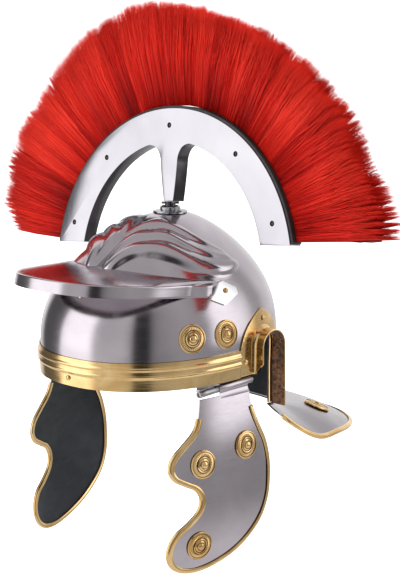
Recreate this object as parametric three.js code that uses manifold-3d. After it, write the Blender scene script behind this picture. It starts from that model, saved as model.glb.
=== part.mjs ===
// Legionary helmet with hinged cheek guards and a crest that stands across the head.
// Millimetres, +Z up. The face looks along -Y and +X is the wearer's left.
// The origin is the centre of the brow line, where the helmet sits on a head.

import * as THREE from 'three';
import { mergeVertices } from 'three/addons/utils/BufferGeometryUtils.js';
import Module from 'manifold-3d';

const wasm = await Module();
wasm.setup();

const gap = 0.3; // left between pieces that touch

// Bowl, outer faces
const bowlHalfWidth = 99.2;
const bowlFront = 123.3;
const bowlBack = 104;
const bowlHeight = 142.3;
const bowlWall = 1.6;
const crownSetBack = 9.5;
const sectionPower = 2.2;
const heightPower = 1.373;
const shoulderFullness = 0.172;
const setBackPower = 2.67;
const frontRimHeight = 1.5;
const napeDropAtEar = 34;
const napeDropAtBack = 50;
const bowlSegments = 36;
const bowlRings = 9;
const liningSegments = 28;
const liningRings = 7;

// Ear openings in the bowl
const earFront = 13;
const earBack = 42;
const earTop = 40;

// Embossed eyebrows
const browHalfWidth = 9.5;
const browLift = 5.5;
const browRoot = 4;
const browSteps = 11;

// Brow band
const bandHeight = 25.9;
const bandSeat = 0.5;
const bandSheet = 1.1;
const bandRidge = 2.6;
const bandSteps = 28;

// Ear guards
const guardSheet = 1.2;
const guardFront = -6;
const guardTipY = 29;
const guardTipHeight = 59;
const guardBack = 62;
const guardFlange = 12.8;
const guardSoleFront = 0.9;

// Peak
const peakSheet = 1.4;
const peakHalfWidth = 80;
const peakReach = 155.8;
const peakEndY = -27.5;
const peakEndHeight = 0.612 * bowlHeight;
const peakRise = 0.108 * bowlHeight;
const peakFlange = 10.4;
const peakFlare = 2.2;
const peakPower = 2.593;
const peakSteps = 24;
const endPlateSheet = 1.2;
const endPlateSize = 21;

// Neck guard
const neckSheet = 1.5;
const neckHalfWidth = 131.4;
const neckFrontY = 37;
const neckSideY = 60;
const neckReach = 141;
const neckSideDrop = 65;
const neckDrop = 81;
const neckPower = 2.2;
const neckBulge = 8;
const neckSteps = 28;

// Brass edging, a folded channel
const edgingGrip = 3.4;
const edgingSheet = 0.8;
const edgingSlotPlay = 0.6;

// Cheek guards
const cheekSheet = 1.4;
const cheekLength = 81;
const cheekTopY = -57;
const cheekTop = -10.6;
const cheekDrop = 160;
const cheekPlane = bowlHalfWidth - 2;
const cheekSteps = 34;

// Hinges
const hingeFront = new THREE.Vector3(bowlHalfWidth - 5, -55.5, -6.8);
const hingeBack = new THREE.Vector3(bowlHalfWidth + 0.4, 9.5, -3.6);
const barrelRadius = 3.1;
const pinRadius = 1.3;
const sleeveShare = 0.35;
const rightSwing = 1.6;
const leafHeight = 14;
const leafSheet = 1.2;

// Rosettes and rivets
const rosetteRadius = 13.2;
const rosetteHeight = 4.4;
const rivetRadius = 2.4;

// Crest, in its own frame with the crown of the bowl as origin
const crestRoll = -5.9;
const crestPitch = -8.3;
const crestYaw = 0.3;
const crestSetBack = 4.8;
const crestRadius = 150.8;
const crestCentre = -56;
const crestFoot = -31.5;
const crestDepth = 15;
const crestSheet = 1.2;
const armInnerWidth = 116;
const armInnerHeight = 120;
const postFoot = 8.2;
const blockStand = 2.4;
const blockPlay = 0.35;
const blockRadius = crestRadius + blockStand;
const pinCircle = crestRadius - 15.8;
const plumeRadius = 240;
const plumeHalfDepth = 18;
const plumeRootShift = 2.5;
const plumeTipShift = -2.5;
const plumeSteps = 26;
const plumeLocks = 12;

// Socket on the crown and the foot that turns in it
const socketRadius = 16;
const socketSheet = 1.4;
const collarRadius = 9.5;
const collarWall = 2;
const collarHeight = 3.8;
const stemRadius = 5;
const lugHalfLength = 10.5;
const lugHalfWidth = 2.6;
const lugSheet = 2.2;

const rad = THREE.MathUtils.degToRad;
const { lerp, clamp } = THREE.MathUtils;

const steel = new THREE.MeshStandardMaterial({ color: 0xb8b4b8, roughness: 0.3, metalness: 1 });
const plateSteel = new THREE.MeshStandardMaterial({ color: 0xd4d4da, roughness: 0.15, metalness: 1 });
const hingeSteel = new THREE.MeshStandardMaterial({ color: 0xc4c6ca, roughness: 0.22, metalness: 1 });
const brass = new THREE.MeshStandardMaterial({ color: 0xd9a648, roughness: 0.22, metalness: 1 });
const blackWood = new THREE.MeshStandardMaterial({ color: 0x151414, roughness: 0.6, metalness: 0 });
const redHair = new THREE.MeshStandardMaterial({ color: 0xc8201a, roughness: 0.75, metalness: 0 });

const signedPower = (value, power) => Math.sign(value) * Math.abs(value) ** power;

// Turns a closed geometry into a solid with its faces pointing out.
function solid(geometry) {
  geometry.deleteAttribute('normal');
  geometry.deleteAttribute('uv');
  const merged = mergeVertices(geometry, 1e-4);
  const places = new Float32Array(merged.attributes.position.array);
  const corners = [];
  for (let i = 0; i < merged.index.count; i += 3) {
    const [a, b, c] = [0, 1, 2].map((k) => merged.index.getX(i + k));
    if (a !== b && b !== c && c !== a) corners.push([a, b, c]);
  }
  const at = (i) => new THREE.Vector3().fromArray(places, 3 * i);
  let volume = 0;
  for (const [a, b, c] of corners) volume += at(a).dot(at(b).cross(at(c)));
  const turned = volume < 0 ? corners.map(([a, b, c]) => [a, c, b]) : corners;
  const triVerts = new Uint32Array(turned.flat());
  return new wasm.Manifold(new wasm.Mesh({ numProp: 3, vertProperties: places, triVerts }));
}

// Moves every vertex of a geometry to where place puts it.
function bend(geometry, place) {
  const position = geometry.attributes.position;
  for (let i = 0; i < position.count; i += 1) {
    const moved = place(position.getX(i), position.getY(i), position.getZ(i));
    position.setXYZ(i, moved.x, moved.y, moved.z);
  }
  return geometry;
}

function polygon(points) {
  const places = points.map(([u, v]) => new THREE.Vector2(u, v));
  const apart = places.filter((p, i) => p.distanceTo(places.at(i - 1)) > 1e-3);
  return new THREE.Shape(apart);
}

const drawn = (shape, divisions = 8) => polygon(shape.getPoints(divisions).map((p) => [p.x, p.y]));

// A straight bar one long in z, cut into steps, ready to be bent along a path.
function bar(shape, steps) {
  return new THREE.ExtrudeGeometry(shape, { depth: 1, steps, bevelEnabled: false });
}

// Sweeps a section; place takes its two coordinates and the share of the way along.
function sweep(shape, steps, place) {
  return solid(bend(bar(shape, steps), place));
}

// A side outline in y and z, pushed through along x.
function sidePrism(shape, fromX, toX) {
  return sweep(shape, 1, (u, v, t) => new THREE.Vector3(lerp(fromX, toX, t), u, v));
}

function ring(outline, segments) {
  const points = outline.map(([r, h]) => new THREE.Vector2(r, h));
  return new THREE.LatheGeometry(points, segments).rotateX(Math.PI / 2);
}

function between(low, high) {
  const size = high.clone().sub(low);
  const centre = high.clone().add(low).multiplyScalar(0.5);
  return new THREE.BoxGeometry(size.x, size.y, size.z).translate(centre.x, centre.y, centre.z);
}

// A point on the bowl's outer face, at an angle round from the front and a height.
function bowlPoint(angle, height) {
  const share = clamp(height / bowlHeight, 0, 1);
  const rise = Math.asin(share ** (1 / heightPower));
  const shrink = Math.cos(rise) * (1 + shoulderFullness * Math.sin(2 * rise) ** 2);
  const reach = Math.cos(angle) > 0 ? bowlFront : bowlBack;
  const across = shrink * signedPower(Math.sin(angle), 2 / sectionPower);
  const along = shrink * signedPower(Math.cos(angle), 2 / sectionPower);
  const setBack = crownSetBack * share ** setBackPower;
  return new THREE.Vector3(bowlHalfWidth * across, setBack - reach * along, height);
}

function bowlNormal(angle, height) {
  const nudge = 0.02;
  const level = Math.min(height, bowlHeight - 1);
  const round = bowlPoint(angle + nudge, level).sub(bowlPoint(angle - nudge, level));
  const up = bowlPoint(angle, level + nudge).sub(bowlPoint(angle, level - nudge));
  return round.cross(up).normalize();
}

const onBowl = (angle, height, lift = 0) => (
  bowlPoint(angle, height).addScaledVector(bowlNormal(angle, height), lift)
);

// The angle and height whose point on the bowl lies at a side view's y and z.
function bowlAngleAt(y, height) {
  let low = 0;
  let high = Math.PI;
  for (let i = 0; i < 40; i += 1) {
    const middle = (low + high) / 2;
    if (bowlPoint(middle, height).y < y) low = middle;
    else high = middle;
  }
  return (low + high) / 2;
}

// The whole bowl as a filled form, grown by lift, down to a flat base.
function bowlForm(lift, base, rings = bowlRings, segments = bowlSegments) {
  const profile = [new THREE.Vector2(0, base), new THREE.Vector2(1, base)];
  for (let i = 0; i < rings; i += 1) {
    const rise = (i / rings) * (Math.PI / 2);
    profile.push(new THREE.Vector2(1, bowlHeight * Math.sin(rise) ** heightPower));
  }
  profile.push(new THREE.Vector2(0, bowlHeight));
  const form = new THREE.LatheGeometry(profile, segments);
  return solid(bend(form, (x, height, z) => {
    if (Math.hypot(x, z) > 0.5) return onBowl(Math.atan2(x, z), height, lift);
    const crown = height > 0;
    return new THREE.Vector3(0, crown ? crownSetBack : 0, crown ? height + lift : height);
  }));
}

const bowlBase = -napeDropAtBack - 20;
const bowlShell = (from, to) => bowlForm(to, bowlBase).subtract(bowlForm(from, bowlBase - 1));
const lining = (lift) => bowlForm(lift, bowlBase - 1, liningRings, liningSegments);

const napeSlope = (napeDropAtBack - napeDropAtEar) / (bowlBack - earBack);
const napeEdge = (y) => -napeDropAtEar - napeSlope * (y - earBack);

// All that is cut away below the rim, with the ear arch, seen from the side.
function belowRim(grow = 0) {
  const far = 1.4 * bowlFront;
  const half = (earBack - earFront) / 2 + grow;
  const shape = new THREE.Shape();
  shape.moveTo(-far, bowlBase - 5);
  shape.lineTo(-far, frontRimHeight);
  shape.lineTo(earFront - grow, frontRimHeight);
  shape.lineTo(earFront - grow, earTop - half);
  shape.absarc((earFront + earBack) / 2, earTop - half, half, Math.PI, 0, true);
  shape.lineTo(earBack + grow, napeEdge(earBack));
  shape.lineTo(far, napeEdge(far));
  shape.lineTo(far, bowlBase - 5);
  return drawn(shape, 9);
}

// Lines along an eyebrow from the lower edge to the upper one, edge, ridge and crease in turn.
// Each runs from the front to the temple: degrees round from the front, share of the height.
const browLines = [
  [[9, 0.675], [20, 0.758], [36, 0.78], [54, 0.75], [72, 0.685], [90, 0.647], [103, 0.7]],
  [[5, 0.689], [15, 0.785], [32, 0.82], [52, 0.808], [70, 0.745], [87, 0.685], [101, 0.7]],
  [[3, 0.717], [13, 0.825], [30, 0.862], [52, 0.852], [69, 0.8], [85, 0.735], [100, 0.71]],
  [[2, 0.773], [11, 0.86], [30, 0.887], [50, 0.88], [67, 0.822], [82, 0.76], [98, 0.72]],
  [[1, 0.836], [10, 0.89], [28, 0.907], [50, 0.907], [67, 0.868], [82, 0.805], [97, 0.73]],
  [[1, 0.871], [12, 0.925], [30, 0.944], [52, 0.93], [69, 0.893], [83, 0.835], [97, 0.745]],
  [[2, 0.93], [14, 0.962], [32, 0.976], [56, 0.945], [73, 0.91], [86, 0.83], [98, 0.735]],
].map((line) => new THREE.CatmullRomCurve3(line.map(([angle, share]) => (
  new THREE.Vector3(rad(angle), share * bowlHeight, 0)
))));

// The eyebrow's surface: along it, across it, and up off the bowl from its sunk root.
function browPoint(along, across, up, grow) {
  const last = browLines.length - 1;
  const line = clamp(Math.floor(across * last), 0, last - 1);
  const low = browLines[line].getPoint(along);
  const high = browLines[line + 1].getPoint(along);
  const place = low.lerp(high, across * last - line);
  const swell = Math.abs(Math.sin((across * last * Math.PI) / 2)) ** 0.7;
  const taper = Math.min(1, 0.25 + 3 * Math.sin(Math.PI * along)) * (along > 0.9 ? 0.8 : 1);
  const lift = browLift * swell * taper + grow - 0.3;
  place.x += (along < 0.01 ? -grow : 0) / browHalfWidth / 6;
  place.x += (along > 0.99 ? grow : 0) / browHalfWidth / 6;
  return onBowl(place.x, place.y, lerp(-browRoot, lift, up));
}

function brows(grow) {
  const spread = grow / browHalfWidth;
  const [left, right] = [1, -1].map((side) => {
    const pad = new THREE.BoxGeometry(1, 1, 1, browSteps, 2 * (browLines.length - 1), 1);
    pad.translate(0.5, 0.5, 0.5);
    return solid(bend(pad, (along, across, up) => {
      const place = browPoint(along, lerp(-spread / 6, 1 + spread / 6, across), up, grow);
      place.x *= side;
      return place;
    }));
  });
  return left.add(right);
}

function bowl() {
  const filled = bowlForm(0, bowlBase).add(brows(0));
  const hollow = filled.subtract(lining(-bowlWall));
  return hollow.subtract(sidePrism(belowRim(), -2 * bowlFront, 2 * bowlFront));
}

// The band's section as lift off the bowl and height, a ridge above a flat foot.
function browBand() {
  const foot = bandSeat + bandSheet;
  const crest = bandSeat + bandRidge;
  const section = polygon([
    [bandSeat, 0], [foot, 0], [foot, bandHeight * 0.42], [crest, bandHeight * 0.53],
    [foot + 0.5, bandHeight * 0.64], [crest, bandHeight * 0.78], [foot, bandHeight * 0.9],
    [foot, bandHeight], [bandSeat, bandHeight],
  ]);
  const end = bowlAngleAt(guardFront - gap, bandHeight / 2);
  return sweep(section, bandSteps, (lift, height, t) => onBowl(lerp(end, -end, t), height, lift));
}

// Ear guard: a leaf-shaped plate on the bowl with a flange round the ear arch.
function earGuard(side) {
  const middle = (earFront + earBack) / 2;
  const outline = new THREE.Shape();
  outline.moveTo(guardFront, guardSoleFront);
  outline.lineTo(guardFront, guardTipHeight * 0.42);
  outline.quadraticCurveTo(guardFront + 4, guardTipHeight * 0.82, guardTipY, guardTipHeight);
  outline.quadraticCurveTo(guardBack - 6, guardTipHeight * 0.82, guardBack, guardTipHeight * 0.36);
  outline.lineTo(guardBack, napeEdge(guardBack) + gap);
  outline.lineTo(earBack, napeEdge(earBack) + gap);
  outline.lineTo(middle, guardSoleFront);
  const reachOut = 2 * bowlHalfWidth;
  const plate = bowlShell(gap, gap + guardSheet).intersect(sidePrism(drawn(outline, 5), 0, reachOut));

  const half = (earBack - earFront) / 2;
  const arch = new THREE.Shape();
  arch.moveTo(earFront - guardSheet, guardSoleFront);
  arch.lineTo(earFront - guardSheet, earTop - half);
  arch.absarc(middle, earTop - half, half + guardSheet, Math.PI, 0, true);
  arch.lineTo(earBack + guardSheet, napeEdge(earBack) + gap);
  arch.lineTo(earBack, napeEdge(earBack) + gap);
  arch.lineTo(earBack, earTop - half);
  arch.absarc(middle, earTop - half, half, 0, Math.PI, false);
  arch.lineTo(earFront, guardSoleFront);
  const edge = bowlHalfWidth + gap + guardFlange;
  const corner = guardFlange * 0.8;
  const trim = polygon([[0, -corner], [0, 0], [corner * 0.8, -corner]]);
  const chamfer = sweep(trim, 1, (u, v, t) => (
    new THREE.Vector3(edge + 1 - u, lerp(earFront - 5, earFront + 5, t), v + guardSoleFront + corner)
  ));
  const flange = sidePrism(drawn(arch, 5), bowlHalfWidth - 9, edge).subtract(bowlForm(gap, bowlBase));
  const whole = plate.subtract(sidePrism(belowRim(), 0, reachOut)).add(flange.subtract(chamfer));
  return side > 0 ? whole : mirrored(whole);
}

function mirrored(form) {
  return solid(bend(geometryOf(form), (x, y, z) => new THREE.Vector3(-x, y, z)));
}

function geometryOf(form) {
  const mesh = form.getMesh();
  const geometry = new THREE.BufferGeometry();
  geometry.setAttribute('position', new THREE.BufferAttribute(new Float32Array(mesh.vertProperties), 3));
  geometry.setIndex(new THREE.BufferAttribute(new Uint32Array(mesh.triVerts), 1));
  return geometry;
}

// The peak's outer rim, from the wearer's right temple to the left one.
function peakRim(t) {
  const turn = lerp(-Math.PI / 2, Math.PI / 2, t);
  const forward = Math.cos(turn) ** (2 / peakPower);
  const x = peakHalfWidth * signedPower(Math.sin(turn), 2 / peakPower);
  const y = peakEndY - (peakReach + peakEndY) * forward;
  return new THREE.Vector3(x, y, peakEndHeight + peakRise * forward);
}

// The peak: a level shelf with a flange turned down along its rim, cut to the bowl.
function peak() {
  const bowlEdge = 99;
  const section = polygon([
    [0, 0], [0, -peakFlange], [peakSheet, -peakFlange], [peakSheet, -peakSheet],
    [bowlEdge, -peakSheet], [bowlEdge, 0],
  ]);
  const form = sweep(section, peakSteps, (u, v, t) => {
    const rim = peakRim(t);
    const root = bowlPoint(rad(lerp(-84, 84, t)), rim.z).multiply(new THREE.Vector3(0.9, 0.9, 1));
    const inward = new THREE.Vector3().subVectors(root, rim).setZ(0);
    if (u === bowlEdge) return root.setZ(rim.z + v);
    inward.normalize();
    const flare = v < -peakSheet ? -peakFlare : 0;
    return rim.addScaledVector(inward, u + flare).setZ(rim.z + v);
  });
  const clearOfBowl = form.subtract(bowlForm(gap, bowlBase)).subtract(brows(2 * gap));
  const plates = [1, -1].map((side) => endPlate(side, gap));
  return plates.reduce((rest, plate) => rest.subtract(plate), clearOfBowl);
}

// Six-sided plate that carries the peak's end, in y and z shares round its rivet.
const endPlateCentre = [-0.097 * bowlFront, 0.562 * bowlHeight];
const endPlateCorners = [
  [-0.68, 0.29], [0.08, 0.43], [0.68, 0.1], [0.66, -0.19], [-0.28, -0.52], [-0.99, -0.19],
];

function endPlate(side, grow = 0) {
  const [y, z] = endPlateCentre;
  const size = endPlateSize + 2 * grow;
  const outline = polygon(endPlateCorners.map(([u, v]) => [y + u * size, z + v * size]));
  const shell = bowlShell(gap - grow, gap + endPlateSheet + grow);
  const plate = shell.intersect(sidePrism(outline, 0, 2 * bowlHalfWidth));
  return side > 0 ? plate : mirrored(plate);
}

// Neck guard rim from the left ear round the back to the right ear.
function neckRimPoint(turn) {
  const across = signedPower(Math.cos(turn), 2 / neckPower);
  const back = signedPower(Math.sin(turn), 2 / neckPower);
  const drop = lerp(neckSideDrop, neckDrop, Math.sin(turn));
  return new THREE.Vector3(neckHalfWidth * across, neckSideY + neckReach * back, -drop);
}

// The guard's front corner: shares of the half width and of the side drop, at the ear.
const neckCorner = [[0.785, 0.565], [0.92, 0.69]];

function neckPath() {
  const corner = (side) => neckCorner.map(([x, drop]) => (
    new THREE.Vector3(side * x * neckHalfWidth, neckFrontY, -drop * neckSideDrop)
  ));
  const sweepBack = Array.from({ length: 13 }, (_, i) => neckRimPoint(lerp(0.05, Math.PI - 0.05, i / 12)));
  return new THREE.CatmullRomCurve3([...corner(1), ...sweepBack, ...corner(-1).reverse()]);
}

const neckRim = neckPath();
const neckSection = polygon([
  [0, 0], [0, -neckSheet], [0.3, -neckSheet], [0.6, -neckSheet], [0.84, -neckSheet],
  [1, -neckSheet], [1, 0], [0.84, 0], [0.6, 0], [0.3, 0],
]);

// The guard's upper face, from the bowl's lower edge out to the rim, bulging a little.
function neckPoint(share, out) {
  const ear = bowlAngleAt(earBack + 1, 0);
  const nape = onBowl(lerp(ear, 2 * Math.PI - ear, share), 0, -bowlWall);
  nape.setZ(napeEdge(nape.y) - 2 * gap);
  const bulge = neckBulge * Math.sin(Math.PI * out) * Math.sin(Math.PI * share);
  return nape.lerp(neckRim.getPoint(share), out).add(new THREE.Vector3(0, 0, bulge));
}

function neckGuard() {
  return sweep(neckSection, neckSteps, (u, v, t) => {
    return neckPoint(t, u).add(new THREE.Vector3(0, 0, v));
  });
}

// The folded channel's section: out from the sheet's edge, and across the sheet.
function channel(sheet) {
  const inner = sheet / 2 + edgingSlotPlay;
  const outer = inner + edgingSheet;
  const nose = edgingSlotPlay + edgingSheet;
  return polygon([
    [-edgingGrip, inner], [-edgingGrip, outer], [nose, outer * 0.7], [nose, -outer * 0.7],
    [-edgingGrip, -outer], [-edgingGrip, -inner], [edgingSlotPlay, -inner], [edgingSlotPlay, inner],
  ]);
}

function neckEdging() {
  return sweep(channel(neckSheet), neckSteps - 2, (u, v, t) => {
    const share = lerp(1 / neckSteps, 1 - 1 / neckSteps, t);
    const rim = neckRim.getPoint(share);
    const along = neckRim.getTangent(share);
    const inward = neckPoint(share, 0.84).sub(rim);
    inward.addScaledVector(along, -inward.dot(along)).normalize();
    const through = new THREE.Vector3().crossVectors(along, inward);
    through.multiplyScalar(Math.sign(through.z));
    rim.z -= neckSheet / 2;
    return rim.addScaledVector(inward, -u).addScaledVector(through, v);
  });
}

// Cheek guard outline: shares of its length behind the front of the hinge and of its drop.
const cheekRows = [
  [0, 0], [-0.06, 0.115], [-0.11, 0.165], [-0.24, 0.225], [-0.375, 0.285], [-0.43, 0.33],
  [-0.44, 0.38], [-0.39, 0.43], [-0.25, 0.475], [-0.13, 0.51], [-0.075, 0.565], [-0.1, 0.62],
  [-0.22, 0.68], [-0.37, 0.735], [-0.455, 0.805], [-0.47, 0.87], [-0.42, 0.935], [-0.3, 0.98],
  [-0.1, 0.998], [0.16, 0.98], [0.45, 0.93], [0.68, 0.86], [0.87, 0.765], [0.97, 0.65],
  [0.995, 0.53], [0.985, 0.42], [0.93, 0.31], [0.84, 0.215], [0.76, 0.11], [0.74, 0],
];

const cheekOutline = new THREE.SplineCurve(cheekRows.map(([u, v]) => (
  new THREE.Vector2(cheekTopY + u * cheekLength, cheekTop - v * cheekDrop)
)));

// How far out the cheek guard's middle surface stands at a side view's y and z.
function cheekOut(y, z) {
  const back = (y - cheekTopY) / cheekLength;
  const down = (cheekTop - z) / cheekDrop;
  const bulge = 0.2436 * back - 0.149 * back ** 2 + 0.354 * down - 0.316 * down ** 2;
  return cheekPlane + cheekLength * (bulge - 0.032 * back * down - 0.0271);
}

const hingeAxis = hingeBack.clone().sub(hingeFront).normalize();

function barrel(from, to, radius, segments) {
  const start = hingeFront.clone().lerp(hingeBack, from);
  const end = hingeFront.clone().lerp(hingeBack, to);
  const rod = new THREE.CylinderGeometry(radius, radius, start.distanceTo(end), segments);
  const turn = new THREE.Quaternion().setFromUnitVectors(new THREE.Vector3(0, 1, 0), hingeAxis);
  const middle = start.lerp(end, 0.5);
  return rod.applyQuaternion(turn).translate(middle.x, middle.y, middle.z);
}

function knuckle(from, to) {
  return solid(barrel(from, to, barrelRadius, 12)).subtract(solid(barrel(-1, 2, pinRadius + 1.4 * gap, 10)));
}

// The cheek plate's edge, set in so that the brass edging ends at the outline.
function cheekEdge(share) {
  const place = cheekOutline.getPoint(share);
  const along = cheekOutline.getTangent(share);
  const out = new THREE.Vector2(along.y, -along.x);
  return { place: place.addScaledVector(out, -edgingSlotPlay - edgingSheet), out };
}

function cheekPlate(side) {
  const span = 1.56 * cheekLength;
  const sheet = new THREE.BoxGeometry(cheekSheet, span, cheekDrop + 8, 1, 7, 8);
  sheet.translate(0, cheekTopY + span * 0.17, cheekTop - cheekDrop / 2);
  bend(sheet, (x, y, z) => new THREE.Vector3(cheekOut(y, z) + x, y, z));
  const shares = Array.from({ length: cheekSteps + 1 }, (_, i) => i / cheekSteps);
  const outline = polygon(shares.map((share) => cheekEdge(share).place.toArray()));
  const plate = solid(sheet).intersect(sidePrism(outline, 0, 2 * bowlHalfWidth));
  const roll = knuckle(sleeveShare + gap / hingeFront.distanceTo(hingeBack), 1);
  const whole = plate.add(roll).add(cheekNeck());
  return side > 0 ? whole : mirrored(whole);
}

// The short web that runs from the hinge barrel down to the top of the cheek plate.
function cheekNeck() {
  const section = polygon([
    [-cheekSheet / 2, -barrelRadius * 0.6], [cheekSheet / 2, -barrelRadius * 0.6],
    [cheekSheet / 2, -1], [-cheekSheet / 2, -1],
  ]);
  const from = sleeveShare + 0.02;
  return sweep(section, 10, (u, v, t) => {
    const axis = hingeFront.clone().lerp(hingeBack, lerp(from, 0.86, t));
    if (v > -1.01) return new THREE.Vector3(axis.x + u, axis.y, axis.z - barrelRadius * 0.75);
    const foot = cheekTop - 2;
    return new THREE.Vector3(cheekOut(axis.y, foot) + u, axis.y, foot);
  });
}

function cheekEdging(side) {
  return sweep(channel(cheekSheet), cheekSteps - 2, (u, v, t) => {
    const share = lerp(1 / cheekSteps, 1 - 1 / cheekSteps, t);
    const { place, out } = cheekEdge(share);
    const [y, z] = place.addScaledVector(out, u).toArray();
    return new THREE.Vector3(side * (cheekOut(y, z) + v), y, z);
  });
}

// Hinge sleeve fixed to the bowl: a rolled barrel on a leaf that lies inside the rim.
function hingeSleeve(side) {
  const start = hingeFront.clone().lerp(hingeBack, 0.04);
  const end = hingeFront.clone().lerp(hingeBack, sleeveShare - 0.04);
  const inside = -bowlWall - gap;
  const leafBox = between(
    new THREE.Vector3(0, start.y, start.z + 3.5),
    new THREE.Vector3(2 * bowlHalfWidth, end.y, leafHeight),
  );
  const shell = lining(inside).subtract(lining(inside - leafSheet));
  const leaf = shell.intersect(solid(leafBox));
  const innerX = bowlPoint(bowlAngleAt(start.y, 0), 0).x + inside - leafSheet;
  const web = solid(between(
    new THREE.Vector3(innerX, start.y, start.z + 1.4),
    new THREE.Vector3(end.x - pinRadius - gap, end.y, start.z + 3.6),
  ));
  const trimmed = web.subtract(solid(barrel(-1, 2, pinRadius + 1.4 * gap, 10)));
  const whole = knuckle(0, sleeveShare).add(trimmed).add(leaf);
  return side > 0 ? whole : mirrored(whole);
}

function hingePin(side) {
  const pin = solid(barrel(0.01, 0.99, pinRadius, 8));
  return side > 0 ? pin : mirrored(pin);
}

// Rosette: a rim ring, a milled ring, a groove and a domed rivet head, face along +Z.
function rosette() {
  const r = rosetteRadius;
  const h = rosetteHeight;
  return solid(ring([
    [0, 0], [r, 0], [r * 0.92, h * 0.42], [r * 0.8, h * 0.26], [r * 0.45, h * 0.6],
    [r * 0.24, h * 0.55], [0, h],
  ], 10));
}

function rivet(radius = rivetRadius) {
  return solid(ring([[0, 0], [radius, 0], [radius * 0.7, radius * 0.45], [0, radius * 0.6]], 7));
}

// A group at a place whose +Z runs along the given direction.
function seat(place, normal) {
  const group = new THREE.Group();
  group.position.copy(place);
  group.quaternion.setFromUnitVectors(new THREE.Vector3(0, 0, 1), normal);
  return group;
}

function piece(name, form, material, parent) {
  const geometry = geometryOf(form);
  geometry.computeVertexNormals();
  const mesh = new THREE.Mesh(geometry, material);
  mesh.name = name;
  parent.add(mesh);
  return mesh;
}

// Seats a round fitting on the bowl, or on a sheet that stands lift off it.
function seatOnBowl(side, y, height, lift) {
  const angle = bowlAngleAt(y, height);
  const place = onBowl(angle, height, lift);
  const normal = bowlNormal(angle, height);
  place.x *= side;
  normal.x *= side;
  return seat(place, normal);
}

function seatOnCheek(side, y, z) {
  const place = new THREE.Vector3(cheekOut(y, z), y, z);
  const slopeY = cheekOut(y + 1, z) - cheekOut(y, z);
  const slopeZ = cheekOut(y, z + 1) - cheekOut(y, z);
  const normal = new THREE.Vector3(1, -slopeY, -slopeZ).normalize();
  place.addScaledVector(normal, cheekSheet / 2 + gap);
  place.x *= side;
  normal.x *= side;
  return seat(place, normal);
}

// Neck rosettes lie on the guard's upper face: shares of the way round, then out.
const neckRosetteSeat = [0.28, 0.58];

function seatOnNeck(side) {
  const [share, out] = neckRosetteSeat;
  const place = neckPoint(share, out);
  const outward = neckPoint(share, out + 0.05).sub(place);
  const normal = outward.cross(neckPoint(share + 0.05, out).sub(place)).normalize();
  normal.multiplyScalar(Math.sign(normal.z));
  place.addScaledVector(normal, gap);
  place.x *= side;
  normal.x *= side;
  return seat(place, normal);
}

// The crest plate's outline in its own x and z.
function crestOutline(inset, outerRadius) {
  const shape = new THREE.Shape();
  const foot = crestFoot + inset;
  const drop = Math.asin((foot - crestCentre) / outerRadius);
  shape.absarc(0, crestCentre, outerRadius, drop, Math.PI - drop, false);
  const wide = armInnerWidth + inset;
  const high = armInnerHeight + inset;
  const leave = Math.asin((foot - crestCentre) / high);
  const turn = rad(77);
  shape.absellipse(0, crestCentre, wide, high, Math.PI - leave, Math.PI - turn, true);
  const top = crestCentre + high * Math.sin(turn);
  const cheek = 11 - inset;
  shape.quadraticCurveTo(-cheek - 3, top, -cheek, top - 13);
  shape.quadraticCurveTo(-cheek + 1.5, top - 32, -6 + inset, postFoot + inset);
  shape.lineTo(6 - inset, postFoot + inset);
  shape.quadraticCurveTo(cheek - 1.5, top - 32, cheek, top - 13);
  shape.quadraticCurveTo(cheek + 3, top, wide * Math.cos(turn), top);
  shape.absellipse(0, crestCentre, wide, high, turn, leave, true);
  return drawn(shape, 6);
}

// An outline in the crest's x and z, given its depth along y.
function crestSlab(shape, front, back) {
  return sweep(shape, 1, (u, v, t) => new THREE.Vector3(u, crestSetBack + lerp(front, back, t), v));
}

function crestBox() {
  const half = crestDepth / 2;
  const room = crestSlab(crestOutline(crestSheet, crestRadius + 5), -half + crestSheet, half - crestSheet);
  return crestSlab(crestOutline(0, crestRadius), -half, half).subtract(room);
}

function crestBlock() {
  const clear = crestSheet + blockPlay;
  const shape = new THREE.Shape();
  const foot = crestFoot + clear;
  const inner = armInnerHeight + clear + 1;
  const dropOut = Math.asin((foot - crestCentre) / blockRadius);
  const dropIn = Math.asin((foot - crestCentre) / inner);
  shape.absarc(0, crestCentre, blockRadius, dropOut, Math.PI - dropOut, false);
  shape.absarc(0, crestCentre, inner, Math.PI - dropIn, dropIn, true);
  const half = crestDepth / 2 - clear;
  return crestSlab(drawn(shape, 11), -half, half);
}

const pinAngles = [-71, -38, 0, 38, 71];

// Plume tips: degrees from the top, and share of the full radius.
const plumeTips = [
  [-80, 0.86], [-74, 0.965], [-64, 1], [-57, 1.03], [-47, 1], [-36, 1.045], [-21, 1.065],
  [-9, 1.065], [0, 1.045], [11, 1.02], [21, 1.01], [32, 1.015], [42, 1.02], [51, 1.035],
  [58, 1.05], [64, 1.03], [71, 1.055], [77, 1.085], [83, 1.09],
];
const plumeFootAngle = 79.5;

function tipRadius(angle) {
  const next = plumeTips.findIndex(([a]) => a >= angle);
  if (next < 1) return plumeRadius * plumeTips[next === 0 ? 0 : plumeTips.length - 1][1];
  const [a0, s0] = plumeTips[next - 1];
  const [a1, s1] = plumeTips[next];
  return plumeRadius * lerp(s0, s1, (angle - a0) / (a1 - a0));
}

const plumePoint = (angle, radius, y) => new THREE.Vector3(
  radius * Math.sin(rad(angle)), crestSetBack + y, crestCentre + radius * Math.cos(rad(angle)),
);

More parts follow.
